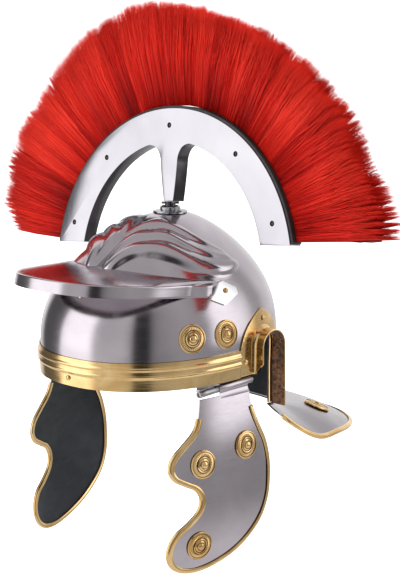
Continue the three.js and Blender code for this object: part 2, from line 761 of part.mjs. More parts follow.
// Plume: a backing that widens outwards, with blunt locks fused to it in rows.
function plume() {
  const root = blockRadius + 2 * gap;
  const rootHalf = crestDepth / 4;
  const first = plumeTips[0][0];
  const last = plumeTips[plumeTips.length - 1][0];
  const place = (t, share, aside) => {
    const tip = lerp(first, last, t);
    const angle = lerp(lerp(-plumeFootAngle, plumeFootAngle, t), tip, Math.min(1, 1.4 * share));
    const shift = lerp(plumeRootShift, plumeTipShift, Math.min(1, share));
    return plumePoint(angle, lerp(root, tipRadius(tip), share), aside + shift);
  };
  const section = polygon([
    [0, -rootHalf], [0, rootHalf], [0.3, plumeHalfDepth * 0.6], [0.8, plumeHalfDepth * 0.86],
    [0.95, 0], [0.8, -plumeHalfDepth * 0.86], [0.3, -plumeHalfDepth * 0.6],
  ]);
  const forms = [sweep(section, plumeSteps, (u, v, t) => place(t, u, v))];
  const lock = polygon([[1, 0], [0, 1], [-1, 0], [0, -1]]);
  for (const row of [-1, 0, 1]) {
    for (let i = 0; i < plumeLocks; i += 1) {
      const along = (i + (row === 0 ? 1 : 0.5)) / (plumeLocks + 0.5);
      const reach = 1 - 0.02 * ((i * 7 + row * 3 + 3) % 3);
      forms.push(sweep(lock, 1, (u, v, t) => {
        const width = plumeHalfDepth * lerp(0.95, 0.3, t);
        const aside = row * plumeHalfDepth * lerp(0.42, 0.7, t) + v * width * 0.8;
        const turn = (u * width) / plumeRadius / rad(last - first);
        return place(clamp(along + turn, 0, 1), lerp(0.5, reach, t), aside);
      }));
    }
  }
  return forms.reduce((all, form) => all.add(form));
}

// Socket: a disc dished to the crown with a collar; the foot's stem turns inside the collar.
function crownDrop(angle, radius) {
  let low = 0;
  let high = bowlHeight;
  for (let i = 0; i < 30; i += 1) {
    const middle = (low + high) / 2;
    const place = bowlPoint(angle, middle);
    if (Math.hypot(place.x, place.y - crownSetBack) > radius) low = middle;
    else high = middle;
  }
  return bowlHeight - low;
}

function crestSocket() {
  const top = gap + socketSheet;
  const inner = collarRadius - collarWall;
  const profile = ring([
    [0, gap], [inner, 1.2 * gap], [socketRadius * 0.7, 1.2 * gap], [socketRadius, 1.2 * gap],
    [socketRadius, top], [collarRadius, top],
    [collarRadius, collarHeight], [inner, collarHeight], [inner, top], [0, top],
  ], 16);
  return solid(bend(profile, (x, y, z) => {
    const drop = Math.hypot(x, y) > 0.1 ? crownDrop(Math.atan2(x, -y), Math.hypot(x, y)) : 0;
    const fall = z < collarHeight ? drop : 0;
    return new THREE.Vector3(x, y + crownSetBack, z + bowlHeight - fall);
  }));
}

function crestFootPiece() {
  const low = gap + socketSheet + 1.3;
  const lugTop = postFoot - gap;
  const stem = solid(new THREE.CylinderGeometry(stemRadius, stemRadius, lugTop - low, 16)
    .rotateX(Math.PI / 2).translate(0, 0, (low + lugTop) / 2));
  const lug = solid(between(
    new THREE.Vector3(-lugHalfLength, -lugHalfWidth, lugTop - lugSheet),
    new THREE.Vector3(lugHalfLength, lugHalfWidth, lugTop),
  ));
  return stem.add(lug);
}

function pinHole(angle, radius, depth) {
  const place = plumePoint(angle, pinCircle, 0);
  return solid(new THREE.CylinderGeometry(radius, radius, depth, 10)
    .translate(place.x, place.y - crestDepth / 2, place.z));
}

const helmet = new THREE.Group();

piece('bowl', bowl(), steel, helmet);
piece('brow_band', browBand(), brass, helmet);
piece('brow_band_rivet', rivet(), brass, seatAndAdd(frontSeat(bandHeight * 0.28, bandSeat + bandSheet + gap)));
piece('peak', peak(), steel, helmet);
piece('peak_rivet_front', rivet(), brass, seatAndAdd(frontSeat(0.555 * bowlHeight, gap)));
piece('neck_guard', neckGuard(), steel, helmet);
piece('neck_edging', neckEdging(), brass, helmet);

function frontSeat(height, lift) {
  return seat(onBowl(0, height, lift), bowlNormal(0, height));
}

function seatAndAdd(group) {
  helmet.add(group);
  return group;
}

// Seats seen from the side: shares of the bowl's front reach and height, then of the cheek
// guard's length behind its front top corner and its drop, then places on the ear guard.
// Both cheek guards hang free. The right one hangs a little further in.
function cheekGroup(side) {
  const group = new THREE.Group();
  const axis = hingeAxis.clone().multiply(new THREE.Vector3(side, 1, 1));
  group.quaternion.setFromAxisAngle(axis, side > 0 ? 0 : -rad(rightSwing));
  const pivot = hingeFront.clone().multiply(new THREE.Vector3(side, 1, 1));
  group.position.copy(pivot).sub(pivot.clone().applyQuaternion(group.quaternion));
  helmet.add(group);
  return group;
}

const bowlRosettes = { front: [-0.47, 0.313], rear: [-0.178, 0.306] };
const cheekRosettes = { front: [-0.025, 0.362], rear: [0.593, 0.309], lower: [-0.074, 0.834] };
const guardRivets = {
  front: [guardFront + 6.5, 0.24 * guardTipHeight],
  top: [guardTipY, 0.84 * guardTipHeight],
  rear: [guardBack - 6.5, 0.2 * guardTipHeight],
};

for (const [sideName, side] of [['left', 1], ['right', -1]]) {
  piece(`ear_guard_${sideName}`, earGuard(side), brass, helmet);
  for (const [name, [y, z]] of Object.entries(guardRivets)) {
    const group = seatAndAdd(seatOnBowl(side, y, z, 2 * gap + guardSheet));
    piece(`ear_rivet_${name}_${sideName}`, rivet(), brass, group);
  }
  piece(`peak_plate_${sideName}`, endPlate(side), steel, helmet);
  const [plateY, plateZ] = endPlateCentre;
  const plateSeat = seatAndAdd(seatOnBowl(side, plateY, plateZ, 2 * gap + endPlateSheet));
  piece(`peak_rivet_${sideName}`, rivet(), brass, plateSeat);
  for (const [name, [y, z]] of Object.entries(bowlRosettes)) {
    const group = seatAndAdd(seatOnBowl(side, y * bowlFront, z * bowlHeight, -gap));
    piece(`rosette_${name}_${sideName}`, rosette(), brass, group);
  }
  piece(`neck_rosette_${sideName}`, rosette(), brass, seatAndAdd(seatOnNeck(side)));
  const cheek = cheekGroup(side);
  piece(`cheek_plate_${sideName}`, cheekPlate(side), steel, cheek);
  piece(`cheek_edging_${sideName}`, cheekEdging(side), brass, cheek);
  for (const [name, [along, down]] of Object.entries(cheekRosettes)) {
    const place = [cheekTopY + along * cheekLength, cheekTop - down * cheekDrop];
    const group = seatOnCheek(side, ...place);
    cheek.add(group);
    piece(`cheek_rosette_${name}_${sideName}`, rosette(), brass, group);
  }
  piece(`hinge_sleeve_${sideName}`, hingeSleeve(side), hingeSteel, helmet);
  piece(`hinge_pin_${sideName}`, hingePin(side), hingeSteel, helmet);
}

piece('crest_socket', crestSocket(), hingeSteel, helmet);

const crest = new THREE.Group();
crest.position.set(0, crownSetBack, bowlHeight);
crest.rotation.set(rad(crestPitch), rad(crestRoll), rad(crestYaw), 'YXZ');
helmet.add(crest);

piece('crest_foot', crestFootPiece(), hingeSteel, crest);
const holes = pinAngles.map((angle) => pinHole(angle, 2.6, 4)).reduce((all, hole) => all.add(hole));
piece('crest_box', crestBox().subtract(holes), plateSteel, crest);
piece('crest_block', crestBlock(), blackWood, crest);
for (const [i, angle] of pinAngles.entries()) {
  const group = new THREE.Group();
  group.position.copy(plumePoint(angle, pinCircle, -crestDepth / 2 + crestSheet + blockPlay - gap));
  group.rotation.x = Math.PI / 2;
  crest.add(group);
  piece(`crest_pin_${i + 1}`, rivet(2.2), hingeSteel, group);
}
piece('plume', plume(), redHair, crest);

export default helmet;
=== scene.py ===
import math

import bmesh
import bpy
import numpy as np
from mathutils import Matrix, Vector


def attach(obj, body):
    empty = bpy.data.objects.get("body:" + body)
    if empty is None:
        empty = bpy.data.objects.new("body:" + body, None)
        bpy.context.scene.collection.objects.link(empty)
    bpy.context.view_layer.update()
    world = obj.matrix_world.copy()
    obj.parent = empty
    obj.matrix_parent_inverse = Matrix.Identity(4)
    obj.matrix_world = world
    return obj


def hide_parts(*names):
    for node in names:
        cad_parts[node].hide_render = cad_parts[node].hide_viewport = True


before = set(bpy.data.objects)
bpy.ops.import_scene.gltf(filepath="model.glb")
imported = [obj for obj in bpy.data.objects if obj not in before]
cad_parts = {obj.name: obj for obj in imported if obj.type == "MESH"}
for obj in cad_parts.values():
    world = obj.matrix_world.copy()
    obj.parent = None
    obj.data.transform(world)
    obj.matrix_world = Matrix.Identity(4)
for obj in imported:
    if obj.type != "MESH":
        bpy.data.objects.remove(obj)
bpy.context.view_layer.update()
print("frame loaded:", len(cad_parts), "nodes")

# Every shape below is worked out in millimetres and made metres when it is finished.
mm = 0.001
gap = 0.3  # left between pieces that touch
bothSides = ((1, "left"), (-1, "right"))
underside = -0.3  # faces that look down by more than this are the dark inside

bowl = {
    "halfWidth": 99.2,
    "front": 123.3,
    "back": 104.0,
    "height": 142.3,
    "wall": 1.6,
    "crownSetBack": 9.5,
    "sectionPower": 2.2,
    "heightPower": 1.373,
    "shoulderFullness": 0.172,
    "setBackPower": 2.67,
    "frontRim": 1.5,
    "napeDropAtEar": 34.0,
    "napeDropAtBack": 50.0,
    "earFront": 13.0,
    "earBack": 42.0,
    "earTop": 40.0,
    "base": -64.0,
    "columns": 430,
    "rows": 184,
    "evenColumns": 0.62,  # the rest crowd to the front
    # share of the rows, then degrees up the dome; the rows before the first lie below the brow
    "rise": [(0.1, 0), (0.32, 46), (0.86, 81.5), (1, 90)],
    "deeper": 50,  # millimetres of lift that would double how far the wall reaches down
    "middle": (0, 0, 30),
    "inward": 25,  # faces that look this far towards the middle are the dark inside
}
earHalf = (bowl["earBack"] - bowl["earFront"]) / 2
earMiddle = (bowl["earFront"] + bowl["earBack"]) / 2
archFoot = bowl["earTop"] - earHalf


def signedPower(value, power):
    return np.sign(value) * np.abs(value) ** power


def lerp(a, b, t):
    return a + (b - a) * t


def bowlPoint(angle, height):
    # A point of the outer face, at an angle round from the front and a height.
    angle, height = np.broadcast_arrays(np.asarray(angle, float), np.asarray(height, float))
    share = np.clip(height / bowl["height"], 0, 1)
    rise = np.arcsin(share ** (1 / bowl["heightPower"]))
    shrink = np.cos(rise) * (1 + bowl["shoulderFullness"] * np.sin(2 * rise) ** 2)
    reach = np.where(np.cos(angle) > 0, bowl["front"], bowl["back"])
    across = shrink * signedPower(np.sin(angle), 2 / bowl["sectionPower"])
    along = shrink * signedPower(np.cos(angle), 2 / bowl["sectionPower"])
    setBack = bowl["crownSetBack"] * share ** bowl["setBackPower"]
    return np.stack([bowl["halfWidth"] * across, setBack - reach * along, height], -1)


def unit(vectors):
    return vectors / np.maximum(np.linalg.norm(vectors, axis=-1, keepdims=True), 1e-9)


def bowlNormal(angle, height):
    angle, height = np.broadcast_arrays(np.asarray(angle, float), np.asarray(height, float))
    level = np.minimum(height, bowl["height"] - 1)
    nudge = 0.02
    around = bowlPoint(angle + nudge, level) - bowlPoint(angle - nudge, level)
    up = bowlPoint(angle, level + nudge) - bowlPoint(angle, level - nudge)
    normal = unit(np.cross(around, up))
    crown = height > bowl["height"] - 1e-3
    normal[crown] = (0, 0, 1)
    return normal


def onBowl(angle, height, lift=0.0):
    lift = np.asarray(lift, float)
    return bowlPoint(angle, height) + bowlNormal(angle, height) * lift[..., None]


def halved(shape, top, short, steps):
    # Closes in from 0 and top on the place where short stops being true.
    low, high = np.zeros(shape), np.full(shape, top)
    for _ in range(steps):
        middle = (low + high) / 2
        before = short(middle)
        low, high = np.where(before, middle, low), np.where(before, high, middle)
    return low, high


def bowlAngleAt(y, height):
    # The angle whose point on the bowl lies at this y, on the wearer's left.
    y, height = np.broadcast_arrays(np.asarray(y, float), np.asarray(height, float))
    low, high = halved(y.shape, math.pi, lambda angle: bowlPoint(angle, height)[..., 1] < y, 36)
    return (low + high) / 2


def curve(points, t):
    # A smooth line through the points, t from 0 to 1 in even shares of its spans.
    points = np.asarray(points, float)
    full = np.vstack([2 * points[0] - points[1], points, 2 * points[-1] - points[-2]])
    place = np.clip(np.asarray(t, float), 0, 1) * (len(points) - 1)
    span = np.minimum(place.astype(int), len(points) - 2)
    s = (place - span)[..., None]
    p0, p1, p2, p3 = (full[span + k] for k in range(4))
    d0, d1, d2 = (
        np.maximum(np.linalg.norm(b - a, axis=-1, keepdims=True) ** 0.5, 1e-4)
        for a, b in ((p0, p1), (p1, p2), (p2, p3))
    )
    m1 = ((p1 - p0) / d0 - (p2 - p0) / (d0 + d1) + (p2 - p1) / d1) * d1
    m2 = ((p2 - p1) / d1 - (p3 - p1) / (d1 + d2) + (p3 - p2) / d2) * d1
    bend = (-3 * p1 + 3 * p2 - 2 * m1 - m2) * s**2 + (2 * p1 - 2 * p2 + m1 + m2) * s**3
    return p1 + m1 * s + bend


def tangent(points, t):
    step = 1e-3
    return unit(curve(points, np.minimum(t + step, 1)) - curve(points, np.maximum(t - step, 0)))


def arc(centre, radii, start, end, count=24):
    turn = np.radians(np.linspace(start, end, count))
    return np.stack([centre[0] + radii[0] * np.cos(turn), centre[1] + radii[1] * np.sin(turn)], -1)


def bent(start, control, end, count=10):
    t = np.linspace(0, 1, count)[:, None]
    start, control, end = (np.asarray(p, float) for p in (start, control, end))
    return start * (1 - t) ** 2 + 2 * control * t * (1 - t) + end * t**2


def join(*runs):
    # Runs of points as one outline, without repeats.
    points = np.vstack([np.atleast_2d(np.asarray(run, float)) for run in runs])
    apart = np.linalg.norm(points - np.roll(points, 1, axis=0), axis=1) > 1e-3
    return points[apart]


def moved(bm, place):
    # Moves each vertex of a 0 to 1 grid to where place(u, v) puts it.
    flat = np.array([vert.co[:2] for vert in bm.verts]) + 0.5
    for vert, spot in zip(bm.verts, place(flat[:, 0], flat[:, 1])):
        vert.co = spot
    return bm


def gridSheet(columns, rows, place):
    bm = bmesh.new()
    bmesh.ops.create_grid(bm, x_segments=columns, y_segments=rows, size=0.5)
    return moved(bm, place)


def closeUp(bm, merge=1e-3):
    # Merges the seam, fills what is open and turns the faces out.
    bmesh.ops.remove_doubles(bm, verts=bm.verts[:], dist=merge)
    openEdges = [edge for edge in bm.edges if edge.is_boundary]
    if openEdges:
        bmesh.ops.holes_fill(bm, edges=openEdges, sides=0)
    bmesh.ops.recalc_face_normals(bm, faces=bm.faces[:])
    return bm


def sweep(section, steps, place):
    # Carries a closed section along; place(u, v, t) takes its two coordinates and the share.
    loop = np.vstack([section, section[:1]])
    shares = np.linspace(0, 1, len(loop))

    def spot(u, t):
        a = np.interp(u, shares, loop[:, 0])
        b = np.interp(u, shares, loop[:, 1])
        return place(a, b, t)

    return closeUp(gridSheet(len(loop) - 1, steps, spot))


def prism(outline, start, end, place):
    # A flat outline pushed from start to end; place(u, v, w) says where its points go.
    bm = bmesh.new()
    low = [bm.verts.new(place(u, v, start)) for u, v in outline]
    face = bm.faces.new(low)
    pushed = bmesh.ops.extrude_face_region(bm, geom=[face])["geom"]
    shift = Vector(place(*outline[0], end)) - Vector(place(*outline[0], start))
    newVerts = [item for item in pushed if isinstance(item, bmesh.types.BMVert)]
    bmesh.ops.translate(bm, verts=newVerts, vec=shift)
    bmesh.ops.recalc_face_normals(bm, faces=bm.faces[:])
    return bm


def spun(profile, segments):
    # A profile of radius and height turned about +Z, closed on its axis.
    bm = bmesh.new()
    verts = [bm.verts.new((radius, 0, height)) for radius, height in profile]
    edges = [bm.edges.new(pair) for pair in zip(verts, verts[1:])]
    bmesh.ops.spin(
        bm, geom=verts + edges, cent=(0, 0, 0), axis=(0, 0, 1), dvec=(0, 0, 0),
        angle=2 * math.pi, steps=segments, use_merge=True, use_duplicate=False,
    )
    return closeUp(bm)


def cylinder(radius, depth, place, segments):
    bm = bmesh.new()
    bmesh.ops.create_cone(
        bm, cap_ends=True, segments=segments, radius1=radius, radius2=radius, depth=depth, matrix=place
    )
    return bm


def toObject(name, bm):
    mesh = bpy.data.meshes.new(name)
    bm.to_mesh(mesh)
    bm.free()
    obj = bpy.data.objects.new(name, mesh)
    bpy.context.scene.collection.objects.link(obj)
    return obj


def settle(obj):
    # Makes the modifiers' result the mesh itself.
    seen = obj.evaluated_get(bpy.context.evaluated_depsgraph_get())
    old = obj.data
    obj.data = bpy.data.meshes.new_from_object(seen)
    obj.modifiers.clear()
    bpy.data.meshes.remove(old)
    obj.data.name = obj.name
    return obj


def combine(obj, other, operation):
    step = obj.modifiers.new(operation, "BOOLEAN")
    step.operation, step.object, step.solver = operation, other, "MANIFOLD"
    settle(obj)
    bpy.data.objects.remove(other)
    return obj


def thicken(obj, sheet, offset=-1):
    step = obj.modifiers.new("wall", "SOLIDIFY")
    step.thickness, step.offset, step.use_even_offset = sheet, offset, True
    return settle(obj)


def roundEdges(obj, width, segments=2, limit=40):
    step = obj.modifiers.new("edges", "BEVEL")
    step.width, step.segments, step.limit_method = width, segments, "ANGLE"
    step.angle_limit = math.radians(limit)
    return settle(obj)


def toSide(obj, side):
    if side < 0:
        obj.data.transform(Matrix.Diagonal((-1, 1, 1, 1)))
        obj.data.flip_normals()
    return obj


def faceUp(bm, pick):
    # Turns an open sheet's faces up, judged by the face that pick chooses.
    bmesh.ops.recalc_face_normals(bm, faces=bm.faces[:])
    bm.faces.ensure_lookup_table()
    if pick(bm.faces).normal.z < 0:
        bmesh.ops.reverse_faces(bm, faces=bm.faces[:])
    return bm


def faceLeft(obj, face=0):
    # Turns a sheet's faces towards the wearer's left.
    if obj.data.polygons[face].normal.x < 0:
        obj.data.flip_normals()
    return obj


def joinInto(obj, *others):
    # Adds other objects' meshes to obj.
    bm = bmesh.new()
    bm.from_mesh(obj.data)
    for other in others:
        bm.from_mesh(other.data)
        bpy.data.objects.remove(other)
    bm.to_mesh(obj.data)
    bm.free()
    return obj


def finishPiece(obj, body, materials, nodes, sharp=34, place=None):
    # place is a matrix in millimetres that seats the piece.
    if place is not None:
        obj.data.transform(place)
    obj.data.transform(Matrix.Diagonal((mm, mm, mm, 1)))
    obj.data.shade_smooth()
    obj.data.set_sharp_from_angle(angle=math.radians(sharp))
    for k, material in enumerate(materials):
        if k < len(obj.data.materials):
            obj.data.materials[k] = material
        else:
            obj.data.materials.append(material)
    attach(obj, body)
    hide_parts(*nodes)
    return obj


def paintFaces(obj, picks, index):
    # picks(centres, normals) says which faces take the material at index.
    count = len(obj.data.polygons)
    centres, normals = np.empty(count * 3), np.empty(count * 3)
    obj.data.polygons.foreach_get("center", centres)
    obj.data.polygons.foreach_get("normal", normals)
    chosen = picks(centres.reshape(-1, 3), normals.reshape(-1, 3))
    marks = np.zeros(count, np.int32)
    obj.data.polygons.foreach_get("material_index", marks)
    marks[chosen] = index
    obj.data.polygons.foreach_set("material_index", marks)


# Shader groups that several finishes share.

def groupOf(name, inputs, outputs):
    group = bpy.data.node_groups.new(name, "ShaderNodeTree")
    for label, kind, value in inputs:
        socket = group.interface.new_socket(label, in_out="INPUT", socket_type=kind)
        socket.default_value = value
    for label, kind in outputs:
        group.interface.new_socket(label, in_out="OUTPUT", socket_type=kind)
    enter = group.nodes.new("NodeGroupInput")
    leave = group.nodes.new("NodeGroupOutput")
    return group, enter, leave


def feed(tree, value, socket):
    # A link where value is another socket, and otherwise a fixed value.
    if isinstance(value, bpy.types.NodeSocket):
        tree.links.new(value, socket)
    else:
        socket.default_value = value


def addNode(tree, kind, inputs, **settings):
    node = tree.nodes.new("ShaderNode" + kind)
    for name, value in settings.items():
        setattr(node, name, value)
    for label, value in inputs.items():
        feed(tree, value, node.inputs[label])
    return node


def noiseNode(tree, vector, scale, detail=4.0, roughness=0.55):
    inputs = {"Scale": scale, "Detail": detail, "Roughness": roughness, "Vector": vector}
    return addNode(tree, "TexNoise", inputs).outputs["Fac"]


def rangeNode(tree, value, fromLow, fromHigh, toLow=0, toHigh=1):
    return addNode(tree, "MapRange", {
        "From Min": fromLow, "From Max": fromHigh, "To Min": toLow, "To Max": toHigh, "Value": value,
    }).outputs["Result"]


def mixColour(tree, factor, a, b):
    inputs = {"Factor": factor, "A": a, "B": b}
    return addNode(tree, "Mix", inputs, data_type="RGBA").outputs["Result"]


def mixNumber(tree, factor, a, b):
    return addNode(tree, "Mix", {"Factor": factor, "A": a, "B": b}).outputs["Result"]


def blankMaterial(name):
    material = bpy.data.materials.new(name)
    material.use_nodes = True
    return material, material.node_tree, material.node_tree.nodes["Principled BSDF"].inputs


def brushedGroup():
    # Fine scratches stretched along two axes, over slow smudges and handling marks.
    group, enter, leave = groupOf(
        "brushedMetal",
        (
            ("Coordinate", "NodeSocketVector", (0, 0, 0)),
            ("Stretch", "NodeSocketVector", (1, 1, 30)),
            ("Fine Scale", "NodeSocketFloat", 60.0),
            ("Smudge Scale", "NodeSocketFloat", 18.0),
        ),
        (("Scratch", "NodeSocketFloat"), ("Smudge", "NodeSocketFloat"), ("Wear", "NodeSocketFloat")),
    )
    coordinate = enter.outputs["Coordinate"]
    stretched = addNode(
        group, "VectorMath", {0: coordinate, 1: enter.outputs["Stretch"]}, operation="MULTIPLY"
    )
    scratch = addNode(group, "TexNoise", {
        "Detail": 5.0, "Vector": stretched.outputs[0], "Scale": enter.outputs["Fine Scale"],
    })
    smudge = addNode(group, "TexNoise", {
        "Detail": 3.0, "Distortion": 0.6, "Vector": coordinate, "Scale": enter.outputs["Smudge Scale"],
    })
    speck = noiseNode(group, coordinate, 420.0, 2.0)
    feed(group, scratch.outputs["Fac"], leave.inputs["Scratch"])
    feed(group, rangeNode(group, smudge.outputs["Fac"], 0.32, 0.68), leave.inputs["Smudge"])
    feed(group, rangeNode(group, speck, 0.66, 0.74), leave.inputs["Wear"])
    return group


brushed = brushedGroup()


def metal(name, look):
    # A polished or satin metal. look gives colours, roughness and how its scratches run.
    material, tree, shader = blankMaterial(name)
    effect = addNode(tree, "Group", {
        "Coordinate": addNode(tree, "TexCoord", {}).outputs["Object"], "Stretch": look["stretch"],
        "Fine Scale": look["fineScale"], "Smudge Scale": look["smudgeScale"],
    }, node_tree=brushed).outputs
    tint = mixColour(tree, effect["Smudge"], (*look["dark"], 1), (*look["light"], 1))
    worn = addNode(tree, "Math", {0: effect["Wear"], 1: look["speckAmount"]}, operation="MULTIPLY")
    speckled = mixColour(tree, worn.outputs[0], tint, (*look["speck"], 1))
    feed(tree, speckled, shader["Base Color"])
    feed(tree, rangeNode(tree, effect["Scratch"], 0.3, 0.7, *look["roughness"]), shader["Roughness"])
    feed(tree, look.get("metallic", 1.0), shader["Metallic"])
    bump = {"Strength": look["bump"], "Distance": 0.0003, "Height": effect["Scratch"]}
    feed(tree, addNode(tree, "Bump", bump).outputs["Normal"], shader["Normal"])
    return material


bowlSteel = metal("bowlSteel", {
    "dark": (0.46, 0.42, 0.455), "light": (0.53, 0.485, 0.52), "speck": (0.30, 0.26, 0.27),
    "speckAmount": 0.12, "roughness": (0.13, 0.21), "bump": 0.012, "stretch": (1, 1, 26),
    "fineScale": 60.0, "smudgeScale": 22.0,
})
plateSteel = metal("plateSteel", {
    "dark": (0.70, 0.69, 0.71), "light": (0.80, 0.79, 0.81), "speck": (0.5, 0.48, 0.48),
    "speckAmount": 0.1, "roughness": (0.10, 0.17), "bump": 0.01, "stretch": (26, 1, 1),
    "fineScale": 50.0, "smudgeScale": 20.0,
})
crestSteel = metal("crestSteel", {
    "dark": (0.42, 0.405, 0.44), "light": (0.485, 0.475, 0.50), "speck": (0.3, 0.28, 0.28),
    "speckAmount": 0.1, "roughness": (0.10, 0.16), "bump": 0.01, "stretch": (26, 1, 1),
    "fineScale": 50.0, "smudgeScale": 14.0,
})
# Painted shade: near-black steel for the crest box's side faces, for the pins sunk in their holes and for
# the foot under the post.
crestShadeSteel = metal("crestShadeSteel", {
    "dark": (0.045, 0.042, 0.045), "light": (0.10, 0.094, 0.098), "speck": (0.03, 0.028, 0.028),
    "speckAmount": 0.2, "roughness": (0.14, 0.24), "bump": 0.02, "stretch": (1, 26, 1),
    "fineScale": 50.0, "smudgeScale": 30.0,
})
# Painted shade: a darker copy of the bowl's steel for the neck guard, which tones down its brightly lit
# top.
neckShadeSteel = metal("neckShadeSteel", {
    "dark": (0.29, 0.265, 0.285), "light": (0.37, 0.34, 0.36), "speck": (0.2, 0.18, 0.18),
    "speckAmount": 0.15, "roughness": (0.16, 0.26), "bump": 0.014, "stretch": (20, 1, 1),
    "fineScale": 60.0, "smudgeScale": 20.0,
})
hingeSteel = metal("hingeSteel", {
    "dark": (0.30, 0.30, 0.32), "light": (0.46, 0.46, 0.48), "speck": (0.12, 0.11, 0.10),
    "speckAmount": 0.25, "roughness": (0.12, 0.26), "bump": 0.05, "stretch": (1, 8, 8),
    "fineScale": 60.0, "smudgeScale": 60.0,
})
brass = metal("polishedBrass", {
    "dark": (0.66, 0.41, 0.16), "light": (0.88, 0.63, 0.31), "speck": (0.35, 0.17, 0.05),
    "speckAmount": 0.3, "roughness": (0.10, 0.22), "bump": 0.05, "stretch": (1, 1, 20),
    "fineScale": 40.0, "smudgeScale": 30.0,
})
# Painted shade: dark brown brass for the rosettes' grooves, standing in for the shade in their recesses.
grooveShadeBrass = metal("grooveShadeBrass", {
    "dark": (0.13, 0.055, 0.02), "light": (0.34, 0.18, 0.06), "speck": (0.05, 0.02, 0.01),
    "speckAmount": 0.5, "roughness": (0.25, 0.42), "bump": 0.08, "stretch": (1, 1, 1),
    "fineScale": 90.0, "smudgeScale": 60.0,
})
darkInside = metal("darkInside", {
    "dark": (0.018, 0.021, 0.028), "light": (0.05, 0.055, 0.066), "speck": (0.12, 0.11, 0.1),
    "speckAmount": 0.4, "roughness": (0.38, 0.55), "bump": 0.15, "stretch": (1, 1, 3),
    "fineScale": 60.0, "smudgeScale": 16.0, "metallic": 0.35,
})
brownInside = metal("brownInside", {
    "dark": (0.025, 0.010, 0.006), "light": (0.20, 0.09, 0.04), "speck": (0.55, 0.33, 0.16),
    "speckAmount": 0.7, "roughness": (0.35, 0.6), "bump": 0.3, "stretch": (1, 1, 1),
    "fineScale": 260.0, "smudgeScale": 320.0, "metallic": 0.6,
})
blackPaint = metal("blackPaint", {
    "dark": (0.010, 0.009, 0.010), "light": (0.022, 0.020, 0.021), "speck": (0.10, 0.09, 0.09),
    "speckAmount": 0.3, "roughness": (0.35, 0.6), "bump": 0.3, "stretch": (1, 1, 5),
    "fineScale": 90.0, "smudgeScale": 40.0, "metallic": 0.0,
})


def hairMaterial():
    look = {
        # where along a bristle's shade each colour stands
        "colours": [
            (0.12, (0.14, 0.002, 0.002)), (0.55, (0.50, 0.010, 0.006)), (1.0, (0.72, 0.034, 0.018)),
        ],
        "speckleScale": 900.0,
        "speckle": 0.16,
        "roughness": 0.46,
        "shine": 0.15,
    }
    material, tree, shader = blankMaterial("redHair")
    shade = addNode(tree, "Attribute", {}, attribute_name="shade").outputs["Fac"]
    coordinate = addNode(tree, "TexCoord", {}).outputs["Object"]
    speckle = noiseNode(tree, coordinate, look["speckleScale"], 2.0)
    tone = addNode(tree, "Math", {0: speckle, 1: look["speckle"], 2: shade}, operation="MULTIPLY_ADD")
    ramp = addNode(tree, "ValToRGB", {"Fac": tone.outputs[0]})
    elements = ramp.color_ramp.elements
    elements.new(look["colours"][1][0])
    for element, (position, colour) in zip(elements, look["colours"]):
        element.position, element.color = position, (*colour, 1)
    feed(tree, ramp.outputs["Color"], shader["Base Color"])
    feed(tree, look["roughness"], shader["Roughness"])
    feed(tree, look["shine"], shader["Specular IOR Level"])
    return material


redHair = hairMaterial()
print("finishes ready")


# Bowl with its embossed eyebrows.

brows = {
    "lift": 5.2,  # how far a ridge stands out
    # degrees round, and how much of the lift is left in the creases between ridges
    "creases": [(4, 0.8), (14, 0.62), (30, 0.3), (68, 0.3), (84, 0.92)],
    # Lines from the lower edge to the upper one, edge, ridge and crease in turn. Each runs
    # from the front to the temple: degrees round from the front, share of the bowl's height.
    "lines": [
        [[9, 0.675], [20, 0.758], [36, 0.78], [54, 0.75], [72, 0.685], [90, 0.647], [103, 0.7]],
        [[5, 0.689], [15, 0.785], [32, 0.82], [52, 0.808], [70, 0.745], [87, 0.685], [101, 0.7]],
        [[3, 0.717], [13, 0.825], [30, 0.862], [52, 0.852], [69, 0.8], [85, 0.735], [100, 0.71]],
        [[2, 0.773], [11, 0.86], [30, 0.887], [50, 0.88], [67, 0.822], [82, 0.76], [98, 0.72]],
        [[1, 0.836], [10, 0.89], [28, 0.907], [50, 0.907], [67, 0.868], [82, 0.805], [97, 0.73]],
        [[1, 0.871], [12, 0.925], [30, 0.944], [52, 0.93], [69, 0.893], [83, 0.835], [97, 0.745]],
        [[2, 0.93], [14, 0.962], [32, 0.976], [56, 0.945], [73, 0.91], [86, 0.83], [98, 0.735]],
    ],
    "frontFade": 9.0,  # degrees over which the ridges rise from the front
    "templeFade": 7.0,
    "soften": (0.8, 1.0),  # degrees round and millimetres up
    "roundness": 0.75,  # below 1 the ridges are fuller than a sine wave
    "samples": 200,
    # degrees round, and the share of the lift there
    "strength": [(0, 1), (50, 1), (75, 0.85), (95, 1)],
}


